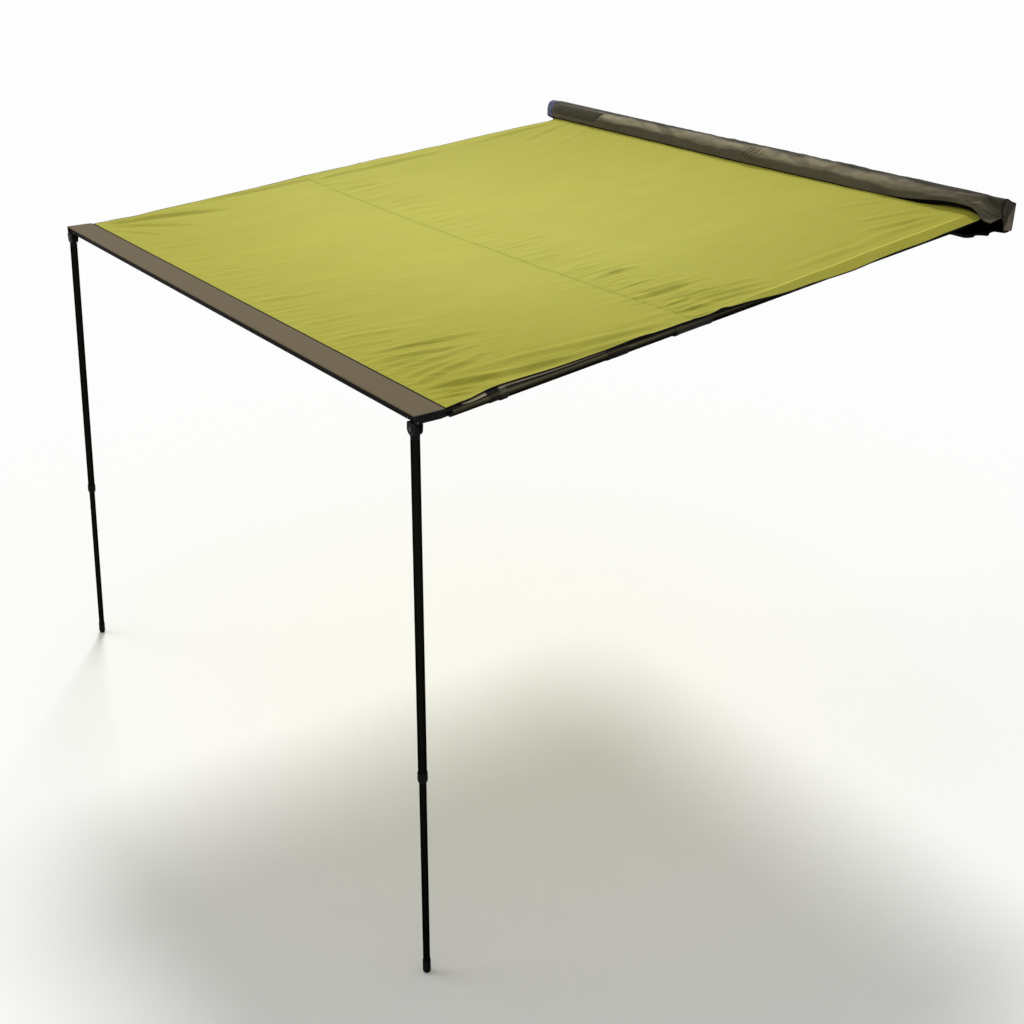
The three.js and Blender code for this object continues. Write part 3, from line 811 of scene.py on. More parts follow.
@dataclass(frozen=True)
class Webbing(Finish):
    """Woven tape: close ribs across it and a dull sheen."""

    pitch: float = 0.0017

    def paint(self, paint: Paint) -> None:
        """Ribs and a weave as relief, a little lighter on the ribs."""
        place = paint.pattern_place()
        rib = paint.weave(place, self.pitch)
        base = paint.mixed(paint.times(rib, 0.6), linear(self.tone, 0.75), linear(self.tone, 1.6))
        fuzz = paint.noise(paint.object_place, 1500.0, 2.0)
        normal = paint.relief(rib, 0.0003, paint.relief(fuzz, 0.0001))
        paint.shade(Base_Color=base, Normal=normal, Roughness=0.82, Sheen_Weight=0.03, Sheen_Roughness=0.5,
                    Specular_IOR_Level=0.05)


@dataclass(frozen=True)
class Moulded(Finish):
    """Moulded plastic or rubber with a fine spark-eroded grain."""

    roughness: float = 0.5
    grain: float = 900.0
    dust: float = 0.2

    def paint(self, paint: Paint) -> None:
        """Grain as relief, rubbed spots with a smoother shine, and dust that lies in the grain."""
        grain = paint.noise(paint.object_place, self.grain, 2.0)
        broad = paint.noise(paint.object_place, 35.0, 4.0, 0.65)
        base = self.mottled(paint, paint.object_place, 18.0, 0.15)
        settled = paint.ranged(broad, 0.5, 0.75, 0.0, self.dust)
        base = paint.mixed(settled, base, linear(DUST, 0.5))
        rough = paint.ranged(broad, 0.3, 0.7, self.roughness + 0.08, self.roughness - 0.08)
        normal = paint.relief(grain, 0.00012, paint.relief(broad, 0.0003))
        paint.shade(Base_Color=base, Normal=normal, Roughness=rough, Specular_IOR_Level=0.06)


@dataclass(frozen=True)
class Drawn(Finish):
    """Aluminium section or tube, drawn along one axis, then anodised, coated or left bare.

    A rim under one dulls what a metallic finish mirrors at a low angle.
    """

    metallic: float = 0.6
    roughness: float = 0.42
    run: Place = (4.0, 400.0, 400.0)
    lines: float = 0.12
    speckle: float = 0.08
    depth: float = 0.00006
    gloss: float = 0.3
    rim: float = 1.0

    def paint(self, paint: Paint) -> None:
        """Drawing lines and a fine speckle in colour, shine and relief, and a few long rub marks."""
        stretched = paint.scaled(paint.object_place, self.run)
        line = paint.ranged(paint.noise(stretched, 1.0, 4.0, 0.6), 0.32, 0.68)
        speck = paint.ranged(paint.noise(paint.object_place, 1300.0, 2.0), 0.35, 0.65)
        dull, bright = linear(self.tone, 1.0 - self.lines), linear(self.tone, 1.0 + self.lines)
        base = paint.mixed(line, dull, bright)
        base = paint.mixed(paint.times(speck, self.speckle * 3.0), base, linear(self.tone, 0.72))
        rubbed = paint.ranged(paint.noise(stretched, 0.22, 5.0, 0.7), 0.6, 0.72, 0.0, 0.35)
        base = paint.mixed(rubbed, base, linear(self.tone, 1.35))
        rough = paint.plus(paint.ranged(line, 0.0, 1.0, self.roughness - 0.05, self.roughness + 0.06),
                           paint.times(rubbed, -0.16))
        normal = paint.relief(line, self.depth, paint.relief(speck, self.depth))
        paint.shade(Base_Color=base, Normal=normal, Roughness=rough, Metallic=self.metallic,
                    Specular_IOR_Level=self.gloss, Specular_Tint=(self.rim, self.rim, self.rim, 1.0))


def rub_along_arm(paint: Paint, rubbed: Tone, reach: float, lean: float = 43.0) -> None:
    """Paints a highlight on a finish, lightest on a line along an arm's outer side.

    Formula: the share is the square of one less the distance from a plane through the arm's axis, over the
    reach, on the arm's outer side.

    Args:
        paint: The finish's paint, whose colour is set.
        rubbed: Colour on the line.
        reach: Distance from the plane where the painted highlight ends.
        lean: Degrees that the plane leans from level.
    """
    x, y, z = paint.parts(paint.object_place)
    along = paint.less(y, ARM_TIP[1])
    aside = paint.less(paint.size(x), paint.less(ARM_TIP[0], paint.times(along, ARM_TOE)))
    over = paint.less(paint.less(z, paint.times(along, ARM_RISE)), ARM_TIP[2])
    turn = math.radians(lean)
    off = paint.less(paint.times(over, math.cos(turn)), paint.times(aside, math.sin(turn)))
    share = paint.ranged(paint.size(off), 0.0, reach, 1.0, 0.0)
    share = paint.times(share, share, paint.ranged(aside, -0.002, 0.002))
    dark = paint.shader.inputs["Base Color"].links[0].from_socket
    # Painted highlight mixed into the colour
    paint.shade(Base_Color=paint.mixed(share, dark, linear(rubbed)))


@dataclass(frozen=True)
class Plated(Finish):
    """Zinc-plated steel, with a cloudy bloom and darker pits."""

    def paint(self, paint: Paint) -> None:
        """Cloudy colour and shine, and shallow pits as relief."""
        cloud = paint.noise(paint.object_place, 140.0, 4.0, 0.6)
        base = paint.mixed(paint.ranged(cloud, 0.35, 0.65), linear(self.tone, 0.8), linear(self.tone, 1.15))
        pits = paint.noise(paint.object_place, 900.0, 2.0)
        paint.shade(Base_Color=base, Metallic=0.6, Roughness=paint.ranged(cloud, 0.3, 0.7, 0.28, 0.46),
                    Normal=paint.relief(pits, 0.00008))


# The finishes, by what they are
CLOTH = CanopyCloth("canopy_cloth", (193, 190, 84))
# The cover's four numbers are walked distances where its painted highlight band starts, is full, begins to fall and
# ends
COVER = CoatedFabric("cover_fabric", (86, 81, 67), worn=(0.068, 0.082, 0.091, 0.106))
PATCH = CoatedFabric("cover_patch_fabric", (70, 66, 54), pitch=0.001)
# Black lining fabric painted blue-grey: a painted reflection
LINING_PAINTED_REFLECTION = CoatedFabric("blue_grey_lining", (86, 92, 112), pitch=0.001)
LINING = CoatedFabric("black_lining", (12, 12, 13), pitch=0.0012, roughness=0.65, gloss=0.0)
FACING = CoatedFabric("taupe_facing", (146, 138, 112), pitch=0.001, roughness=0.6)
BINDING = Webbing("black_binding", (12, 11, 9), pitch=0.0011)
PLATE = Drawn("taupe_anodised_plate", (103, 90, 67), metallic=0.0, roughness=0.5, run=(14.0, 700.0, 700.0),
              lines=0.07, gloss=0.03)
CHANNEL = Drawn("black_channel", (10, 9, 8), metallic=0.0, roughness=0.46, run=(5.0, 500.0, 500.0), gloss=0.02)
LEG_TUBE = Drawn("black_leg_tube", (19, 18, 15), metallic=1.0, roughness=0.40, run=(500.0, 500.0, 5.0), rim=0.0)
# The arm tube's second tone is a painted highlight along the arm's outer side, with the distance it reaches
ARM_TUBE = Drawn("olive_black_arm_tube", (13, 13, 9), ((108, 104, 80), 0.0098), metallic=0.0, roughness=0.4,
                 run=(500.0, 4.0, 500.0), gloss=0.0)
BARE = Drawn("mill_alloy", (172, 174, 176), metallic=0.9, roughness=0.38, run=(3.0, 420.0, 420.0), lines=0.08)
PLASTIC = Moulded("black_plastic", (10, 10, 9))
RUBBER = Moulded("foot_rubber", (12, 12, 12), roughness=0.78, grain=600.0, dust=0.35)
COATED_STEEL = Moulded("black_coated_steel", (14, 14, 14), roughness=0.4, grain=700.0, dust=0.1)
ZINC = Plated("zinc_steel", (92, 94, 100))
BLACK_ZINC = Plated("black_zinc_steel", (36, 40, 48))
# The grip's and strap's second tones are painted highlights along the arm's outer side
ARM_GRIP = Moulded("olive_black_arm_grip", (12, 12, 9), ((98, 94, 72), 0.0115))
ARM_STRAP = Webbing("brown_black_arm_strap", (13, 12, 10), ((78, 70, 55), 0.0090))

# The body that each node of the frame rides on, and its material slot
BODY_OF = {node: body for body, nodes in FRAME["record"]["behaviour"]["bodies"].items() for node in nodes}


def in_scene(name: str, data: bpy.types.ID) -> bpy.types.Object:
    """A new object of the scene that shows the given mesh, camera or lamp."""
    made = bpy.data.objects.new(name, data)
    bpy.context.scene.collection.objects.link(made)
    return made


def placed(name: str, shape: Shell | bpy.types.Mesh, finish: Finish, node: str, stands_for: Sequence[str] = (),
           sharp: float = SHAPE_SHARP) -> bpy.types.Object:
    """Puts a finished piece into the scene.

    Args:
        name: The piece's name.
        shape: Its surface or its mesh, in place.
        finish: Its finish.
        node: The node whose body it rides on.
        stands_for: The nodes that it replaces.
        sharp: Angle in degrees from which an edge of a surface shows.

    Returns:
        The piece.
    """
    mesh = shape.mesh(name, sharp) if isinstance(shape, Shell) else shape
    piece = in_scene(name, mesh)
    mesh.materials.clear()
    mesh.materials.append(finish.material())
    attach(piece, BODY_OF[node])
    if stands_for:
        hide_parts(*stands_for)
    log.info("%s: %d points on %s", name, len(mesh.vertices), BODY_OF[node])
    return piece


def cloth(name: str, shape: Shell | Array, finish: Finish, node: str, thick: float, inner: Finish | None = None,
          replaces: bool = False, offset: float = -1.0) -> bpy.types.Object:
    """Puts a sheet of fabric into the scene and gives it its thickness with a Solidify modifier.

    Args:
        name: The piece's name.
        shape: Its surface, or the grid of the surface's points.
        finish: Its finish.
        node: The node whose body it rides on.
        thick: Its thickness.
        inner: Finish of the side that faces inwards, if it has its own.
        replaces: Whether it stands for its node.
        offset: -1 to grow inwards, 0 both ways and 1 outwards.

    Returns:
        The piece.
    """
    shell = shape if isinstance(shape, Shell) else Shell.of_grid(shape)
    piece = placed(name, shell, finish, node, [node] if replaces else (), SHEET_SHARP)
    solidify = piece.modifiers.new("thickness", "SOLIDIFY")
    solidify.thickness = thick
    solidify.offset = offset
    solidify.use_even_offset = False
    if inner:
        piece.data.materials.append(inner.material())
        solidify.material_offset = 1
    return piece


def held_number(piece: bpy.types.Object, name: str, values: Array) -> None:
    """Has a piece's mesh hold one number at each of its points."""
    numbers = piece.data.attributes.new(name, "FLOAT", "POINT")
    numbers.data.foreach_set("value", values.astype(np.float32))


def bead_rod(node: str, reach: float, radius: float, place: tuple[float, float]) -> None:
    """Turns a bead: a rod with round ends along X, its middle at a place given by Y and Z."""
    profile = rounded([(0.0, 0.0), (radius, 0.0), (radius, 2.0 * reach), (0.0, 2.0 * reach)], 0.001)
    shell = turned_shell(profile, Axis.between((-reach, *place), WAY_X), 20)
    placed(f"{node}_rod", shell, BINDING, node, [node])


def refined(node: str, finish: Finish, edge: float, segments: int = 2) -> bpy.types.Object:
    """Stands a merged copy with eased edges in for a hard node of the frame.

    Args:
        node: The node.
        finish: The copy's finish.
        edge: Width of the eased edges.
        segments: Steps in each eased edge.

    Returns:
        The new piece.
    """
    mesh = FRAME["nodes"][node].data.copy()
    mesh.name = f"{node}_shape"
    work = bmesh.new()
    work.from_mesh(mesh)
    bmesh.ops.remove_doubles(work, verts=work.verts, dist=WELD)
    bmesh.ops.dissolve_limit(work, angle_limit=math.radians(0.8), verts=work.verts, edges=work.edges)
    work.to_mesh(mesh)
    work.free()
    mesh.shade_smooth()
    mesh.set_sharp_from_angle(angle=math.radians(COPY_SHARP))
    piece = placed(f"{node}_shape", mesh, finish, node, [node])
    bevel = piece.modifiers.new("eased_edges", "BEVEL")
    bevel.width = edge
    bevel.segments = segments
    bevel.limit_method = "ANGLE"
    bevel.angle_limit = math.radians(COPY_SHARP)
    bevel.harden_normals = True
    return piece


@dataclass
class Board:
    """The back board with its end caps, rack brackets and their fasteners, and the bead in its groove."""

    half_length: float = 1.010
    bead_radius: float = 0.0023
    bead_place: tuple[float, float] = (-0.0192, 0.031)

    def build(self) -> None:
        """Eases the edges of the hard parts and turns the bead."""
        refined("back_board", BARE, 0.0005)
        for side in Side:
            refined(f"{side.label}_board_cap", PLASTIC, 0.0008)
            refined(f"{side.label}_rack_bracket", COATED_STEEL, 0.0008)
            refined(f"{side.label}_slot_bolt", ZINC, 0.0005)
            refined(f"{side.label}_slot_nut", ZINC, 0.0006)
        bead_rod("rear_bead", self.half_length - 0.005, self.bead_radius, self.bead_place)


@dataclass
class SoftCover:
    """The cover round the board: its skin, end panels, piping, blank patch, lower flap and zip."""

    half_length: float = 1.034
    skin: float = 0.0018
    panel_size: tuple[float, float] = (0.0985, 0.0992)
    flap_depth: float = 0.1165
    top_marks: Marks = (
        (-0.001, 0.041), (-0.022, 0.0435), (-0.042, 0.053), (-0.058, 0.057), (-0.076, 0.048), (-0.089, 0.026),
        (-0.094, -0.005))
    panel_marks: Marks = ((-0.066, -0.014), (-0.046, -0.036), (-0.001, -0.038))
    right_marks: Marks = (
        (-0.0460, -0.0100), (-0.0420, -0.0250), (-0.0390, -0.0345), (-0.001, -0.0365))
    right_end_marks: Marks = (
        (-0.001, 0.0415), (-0.024, 0.0490), (-0.046, 0.0555), (-0.0565, 0.0480), (-0.0610, 0.0360),
        (-0.0625, 0.0240), (-0.0600, 0.0120), (-0.0510, 0.0040), (-0.0780, -0.0010), (-0.1060, -0.0070))
    flap_marks: Marks = (
        (-0.012, -0.0405), (-0.060, -0.0435), (-0.106, -0.044), (-0.118, -0.0455), (-0.122, -0.051))
    ridge_rise: float = 0.006
    blend_start: float = 0.968
    blend_length: float = 0.062
    zip_y: float = -0.123
    zip_top: float = -0.0514
    tooth: Place = (0.0013, 0.0016, 0.0034)
    tooth_step: float = 0.0025
    top_folds: tuple[Crease, ...] = Crease.rows(
        (0.020, 0.120, 0.062, 0.070, 0.0034, 0.0030), (0.040, 0.118, 0.084, 0.068, 0.0032, 0.0034),
        (0.062, 0.116, 0.106, 0.070, 0.0034, 0.0032), (0.090, 0.112, 0.126, 0.074, 0.0036, 0.0022),
        (-0.700, 0.072, -0.738, 0.126, 0.0024, -0.0018), (0.020, 0.100, 0.180, 0.118, 0.0060, 0.0020),
        (0.200, 0.060, 0.330, 0.105, 0.016, -0.0028), (0.380, 0.105, 0.520, 0.070, 0.018, -0.0026),
        (0.560, 0.075, 0.690, 0.125, 0.014, 0.0022), (-0.420, 0.060, -0.300, 0.110, 0.016, -0.0022),
        (-0.660, 0.110, -0.540, 0.075, 0.014, 0.0018), (0.930, 0.132, 0.992, 0.086, 0.006, 0.0026),
        (0.915, 0.098, 0.945, 0.128, 0.0022, -0.0016), (0.945, 0.128, 1.000, 0.094, 0.0022, -0.0016),
        (0.960, 0.116, 1.030, 0.082, 0.009, 0.0040), (0.972, 0.126, 1.026, 0.108, 0.0034, 0.0034),
        (0.978, 0.112, 1.030, 0.097, 0.0030, -0.0032), (0.990, 0.101, 1.036, 0.088, 0.0032, 0.0030),
        (0.880, 0.088, 1.034, 0.060, 0.006, 0.0026), (0.900, 0.074, 1.020, 0.064, 0.004, -0.0014),
        (0.760, 0.128, 0.900, 0.108, 0.009, 0.0024),
    )
    patch: tuple[float, float, float, float, float] = (-0.990, -0.735, 0.076, 0.122, 0.034)

    def __post_init__(self) -> None:
        """Works out the cover's sections once."""
        self.section = curve_through(self.top_marks, 57)
        self.right_end = curve_through(self.right_end_marks, 57)
        self.normals = square_to(self.section)
        self.girth = np.linalg.norm(np.diff(self.section, axis=0), axis=1).sum()

    def gather(self, x: Array) -> Array:
        """How far the skin's lower edge is drawn up, most at 0.90 along."""
        drawn = 0.0035 + 0.0235 * np.exp(-(((x - 0.90) / 0.15) ** 2))
        return drawn * ease((1.020 - x) / 0.075)

    def lining_gather(self, x: Array) -> Array:
        """How far the lining's lower edge is drawn up with the skin's, less than the skin's own."""
        return 0.0165 * np.exp(-(((x - 0.91) / 0.11) ** 2)) * ease((1.020 - x) / 0.075)

    def surface(self, x: Array, walked: Array, lift: float = 0.0) -> Array:
        """Points of the cover's skin.

        Formula: the section at the distance walked over it, moved along its normal by folds, ripples and lift.
        Over the last 66 mm of the right end the section blends into the folded section of that end. The left end
        is drawn inwards over its front, and the ridge rises 12 mm from left to right.

        Args:
            x: Place along the cover.
            walked: Distance over the section from its rear edge, which may pass the skin's own lower edge.
            lift: Distance out from the skin.

        Returns:
            The points.
        """
        share = walked / self.girth
        reached = share * (self.girth - self.gather(x) * ease((share - 0.5) / 0.5))
        grid = np.linspace(0.0, self.girth, len(self.section))
        y, z, ny, nz = (np.interp(reached, grid, c) for c in (*self.section.T, *self.normals.T))
        held = ease(share / 0.12)
        out = creased(x, walked, self.top_folds) + rippled(x, walked * 1.6, 0.035, 0.16, 0.0005, 7)
        out += 0.0011 * np.sin(9.0 * x + 20.0 * walked) * ease((share - 0.4) / 0.3)
        out = out * held + lift
        end_y, end_z = (np.interp(share, np.linspace(0.0, 1.0, len(self.right_end)), c) for c in self.right_end.T)
        near_end = ease((x - self.blend_start) / self.blend_length)
        y = (y + ny * out) * (1.0 - near_end) + (end_y - 0.6 * lift) * near_end
        z = (z + nz * out) * (1.0 - near_end) + (end_z + 0.6 * lift) * near_end
        turned = ease((share - 0.1) / 0.3)
        turned = np.where(x > 0.0, turned, turned * ease((0.86 - share) / 0.3))
        z = z + self.ridge_rise * x * turned
        inward = LEFT_DRAWN_IN * ease((-0.955 - x) / 0.079) * ease((-0.030 - y) / 0.025)
        return np.stack([x + inward, y, z], axis=-1)

    def build(self) -> None:
        """Builds the pieces of the cover and works out the end panels' flat areas."""
        top = self.top()
        trims = [self.blank_patch(), self.lip_lining()]
        for side in Side:
            panel, piping = self.end_panel(side)
            trims = [piping, self.inner_lining() if side is Side.RIGHT else self.turned_back()]
            self.panel_area(side)
        flap, trims = self.flap(), [self.teeth(), self.flap_hem()]
        refined("zip_slider", ZINC, 0.0005)

    def top(self) -> bpy.types.Object:
        """The cover's skin, wrinkled, with its black lining inside."""
        x = graded(-self.half_length, self.half_length,
                   [(-0.06, 0.0062), (0.0, 0.0036), (0.14, 0.0036), (0.2, 0.0062), (0.6, 0.0062), (0.9, 0.0040)])
        walked = np.linspace(0.0, self.girth, 56)
        rows, columns = np.meshgrid(x, walked, indexing="ij")
        grid = self.surface(rows, columns)
        piece = cloth("cover_skin", grid, COVER, "cover_top", self.skin, LINING, replaces=True)
        held_number(piece, CREST, creased(rows, columns, self.top_folds).ravel()[Shell.kept(grid)] / 0.003)
        return piece

    def blank_patch(self) -> bpy.types.Object:
        """A plain patch near the left end, slanted at its inner end, its edges sewn down on the skin."""
        low, high, start, end, slant = self.patch
        u, v = np.meshgrid(np.linspace(0.0, 1.0, 60), np.linspace(0.0, 1.0, 16), indexing="ij")
        walked = start + (end - start) * v
        x = low + (high + slant * (1.0 - v) - low) * u
        rim = np.minimum(np.minimum(u, 1.0 - u) * 8.0, np.minimum(v, 1.0 - v) * 3.0)
        grid = self.surface(x, walked, 0.0007) + 0.0004 * ease(rim)[..., None] * np.array([0.0, -0.7, 0.7])
        return cloth("cover_patch", grid, PATCH, "cover_top", 0.0007)

    def lip_lining(self) -> bpy.types.Object:
        """A black lining below the skin's drawn-up lower edge, which also stands in for the shade under the lip as
        a dark line.
        """
        along = np.linspace(-self.half_length + 0.002, 1.000, 420)
        x, t = np.meshgrid(along, np.linspace(0.0, 1.0, 10), indexing="ij")
        end = (self.girth - self.lining_gather(x)) / (self.girth - self.gather(x))
        share = 0.84 + (end - 0.002 - 0.84) * t
        return cloth("cover_lip_lining", self.surface(x, share * self.girth, -0.0024), LINING, "cover_top", 0.0009)

    def turned_back(self) -> bpy.types.Object:
        """The left end's black lining turned back over the skin's end, painted blue-grey as a reflection: a cuff
        with two lobes and a free outer edge.
        """
        along, t = np.meshgrid(np.linspace(0.0, 1.0, 70), np.linspace(0.0, 1.0, 18), indexing="ij")
        inner = 0.030 + 0.016 * np.cos(2.0 * np.pi * along) ** 2 - 0.012 * np.sin(np.pi * along)
        outer = 0.010 + 0.006 * np.sin(1.5 * np.pi * along + 0.4)
        x = -self.half_length + inner * (1.0 - t) - outer * t
        lift = 0.0013 + 0.0012 * ease(t / 0.25) * np.sin(7.0 * along) ** 2
        grid = self.surface(x, (0.43 + 0.55 * along) * self.girth, lift)
        return cloth("left_cover_turn_back", grid, LINING_PAINTED_REFLECTION, "left_cover_end", 0.0009)

    def inner_lining(self) -> bpy.types.Object:
        """The black lining that hangs from the right end panel before the board's end, with shallow waves.

        Its upper edge runs below the arm's bracket and steps up 43 mm on the bracket's outer side.
        """
        x, t = np.meshgrid(np.linspace(0.915, 1.032, 40), np.linspace(0.0, 1.0, 20), indexing="ij")
        wave = np.sin(4.0 * np.pi * (x - 0.9635) / 0.0685) ** 2
        y = -0.0290 - 0.0012 * wave * (1.0 - t) - 0.0006 * t
        top = -0.0165 + 0.0430 * np.clip((x - 0.9632) / 0.0026, 0.0, 1.0)
        grid = np.stack([x, y, -0.0375 + (top + 0.0375) * t], axis=-1)
        return cloth("right_inner_lining", grid, LINING, "right_cover_end", 0.0008)

    def outline(self, side: Side) -> Array:
        """The end panel's closed outline in Y and Z, which follows the skin's end down to the right one's fold."""
        share, below = (0.70, self.right_marks) if side is Side.RIGHT else (1.0, self.panel_marks)
        walked = np.linspace(0.0, share, 34) * self.girth
        edge = self.surface(np.full(34, side.value * self.half_length), walked, -0.0010)[:, 1:]
        return evenly_spaced(rounded(np.vstack([edge, below]), 0.003, closed=True), 121)

    def panel_area(self, side: Side) -> float:
        """Flat area of an end panel, by the shoelace formula, with Y walked over the panel's lean."""
        y, z = self.outline(side).T
        places = np.linspace(y.min(), y.max(), 200)
        steps = np.hypot(np.diff(places), np.diff(self.drawn_in(side, places)))
        y = np.interp(y, places, np.concatenate([[0.0], np.cumsum(steps)]))
        return float(abs(np.sum(y[:-1] * z[1:] - y[1:] * z[:-1])) / 2.0)

    @staticmethod
    def drawn_in(side: Side, y: Array) -> Array:
        """How far the left end panel leans inwards over its front."""
        return LEFT_DRAWN_IN * ease((-0.030 - y) / 0.025) * (side is Side.LEFT)

    def end_panel(self, side: Side) -> tuple[bpy.types.Object, bpy.types.Object]:
        """An end panel and the piping round it.

        Formula of the panel: middle + r * (outline - middle) for r from 0 to 1, pushed out by a shallow bulge
        of 1 - r squared, with a standing seam down it and a few slack folds.
        """
        outline = self.outline(side)
        middle = outline[:-1].mean(axis=0)
        r = np.linspace(0.0, 1.0, 26)[:, None, None]
        flat = middle + r * (outline - middle)[None]
        y, z = flat[..., 0], flat[..., 1]
        folds = Crease.rows(
            (-0.034, 0.060, -0.034, -0.045, 0.0022, 0.0016), (-0.088, 0.010, -0.040, 0.045, 0.006, 0.0014),
            (-0.080, -0.010, -0.045, 0.010, 0.006, -0.0014))
        slack = 0.0026 * (1.0 - r[..., 0] ** 2) + creased(y, z, folds) * ease((1.0 - r[..., 0]) / 0.12)
        x = side.value * (self.half_length + 0.0012 + slack) + self.drawn_in(side, y)
        shell = Shell.of_grid(np.stack([x, y, z], axis=-1))
        shell = shell if side is Side.LEFT else shell.flipped()
        name = f"{side.label}_cover_panel"
        node = f"{side.label}_cover_end"
        panel = cloth(name, shell, COVER, node, 0.0013, LINING, replaces=True)
        x = side.value * (self.half_length + 0.0004) + self.drawn_in(side, outline[:, 0])
        path = np.column_stack([x, outline])
        ahead = unit(np.roll(path[:-1], -1, axis=0) - np.roll(path[:-1], 1, axis=0))
        out = np.cross(np.vstack([ahead, ahead[:1]]), WAY_X)
        cord = carried_shell(box_section(0.0032, 0.0032, 0.0016, 4), path, WAY_X, out, looped=True)
        return panel, placed(f"{side.label}_cover_piping", cord, BINDING, node)

    def flap(self) -> bpy.types.Object:
        """The lower flap, hanging a little slack between its hinge line and its hem."""
        line = curve_through(self.flap_marks, 30)
        x = np.linspace(-self.half_length, self.half_length, 260)
        along, across = np.meshgrid(x, np.arange(30), indexing="ij")
        y, z = (np.broadcast_to(c, along.shape) for c in line.T)
        slack = ease(across / 8.0) * ease((29 - across) / 5.0)
        wave = rippled(along, y, 0.06, 0.3, 0.0009, 11) + 0.0008 * np.sin(13.0 * along)
        z = z + 0.002 + slack * wave + self.corner_lift(along, y)
        grid = np.stack([along, y * self.corner_cut(along), z], axis=-1)
        return cloth("cover_lower_flap", grid, LINING, "lower_flap", 0.0016, replaces=True)

    @staticmethod
    def corner_lift(x: Array, y: Array) -> Array:
        """Height by which the flap's right front corner draws up, outside the arm."""
        return 0.013 * ease((x - 0.962) / 0.060) * ease((-0.030 - y) / 0.06)

    @staticmethod
    def corner_cut(x: Array) -> Array:
        """Share of the flap's depth that is left where its right front corner is rounded off."""
        return 1.0 - 0.14 * np.clip((x - 1.000) / 0.034, 0.0, 1.0) ** 2

    def hem_strip(self, x: Array, y: Array, height: float, section: Array) -> Shell:
        """A section carried along the flap's front edge, at a height that draws up with the flap's corner."""
        path = np.column_stack([x, y, height + self.corner_lift(x, self.zip_y)])
        return carried_shell(section, path, WAY_Y, WAY_Z)

    def flap_hem(self) -> bpy.types.Object:
        """The tape sewn along the flap's front edge, which carries the zip's teeth."""
        reach = self.half_length - 0.001
        x = np.linspace(-reach, reach, 320)
        y = (self.zip_y + 0.0004) * self.corner_cut(x)
        tape = self.hem_strip(x, y, -0.0495, box_section(0.0016, 0.0052, 0.0006))
        return placed("cover_flap_tape", tape, BINDING, "lower_flap")

    def teeth(self) -> bpy.types.Object:
        """The zip's moulded teeth, each a short block with a rounded head, on their tape."""
        wide, depth, high = self.tooth
        z = self.zip_top - 0.0036
        path = np.array([(0.0, self.zip_y - depth / 2.0, z), (0.0, self.zip_y + depth / 2.0, z)])
        tooth = carried_shell(box_section(wide, high, 0.0005, 2), path, WAY_X, WAY_Z)
        count = int(2.0 * 0.998 / self.tooth_step)
        offsets = np.zeros((count, 3))
        offsets[:, 0] = (np.arange(count) - (count - 1) / 2.0) * self.tooth_step
        offsets[:, 2] = self.corner_lift(offsets[:, 0], self.zip_y)
        x = np.linspace(-1.0, 1.0, 320)
        y = np.full(320, self.zip_y)
        tape = self.hem_strip(x, y, self.zip_top - 0.0018, box_section(0.001, 0.0036, 0.0003))
        chain = Shell.joined([tooth.repeated(offsets), tape])
        return placed("zip_teeth", chain, PLASTIC, "zip_chain", ["zip_chain"])


@dataclass
class Telescope:
    """Drawn tubes that slide in one another, and what is turned about their axis."""

    side: Side
    wall: float = 0.0012
    tube_finish: Finish = LEG_TUBE
    axis: Axis = field(init=False)

    def turned(self, part: str, ending: str, profile: Array, finish: Finish, sides: int = 64, flutes: int = 0,
               depth: Array | float = 0.0) -> None:
        """Places a profile turned about the axis in the place of its node.

        Args:
            part: The node's name after its side.
            ending: What the piece's name adds to it.
            profile: Radius and place of each point.
            finish: The piece's finish.
            sides: Steps in a full turn.
            flutes: Grooves round it, or 0.
            depth: Depth of the grooves at each point of the profile.
        """
        node = f"{self.side.label}_{part}"
        placed(f"{node}_{ending}", turned_shell(profile, self.axis, sides, flutes, depth), finish, node, [node])

    def tube(self, part: str, radius: float, start: float, end: float) -> None:
        """A drawn tube with eased rims."""
        inner = radius - self.wall
        profile = rounded([(inner, start), (radius, start), (radius, end), (inner, end)], 0.0004, closed=True)
        self.turned(part, "tube", profile, self.tube_finish)

    def grip(self, part: str, corners: Sequence[tuple[float, float]], finish: Finish, flutes: int, fluted: float,
             depth: float = 0.0005) -> None:
        """A twist lock's grip, with grooves where its radius is above a limit.

        Args:
            part: The node's name after its side.
            corners: Radius and place of each corner of its profile.
            finish: The piece's finish.
            flutes: Grooves round it.
            fluted: Radius above which they are cut.
            depth: Their depth.
        """
        line = rounded(corners, 0.0006, closed=True)
        self.turned(part, "grip", line, finish, 6 * flutes, flutes, depth * (line[:, 0] > fluted))


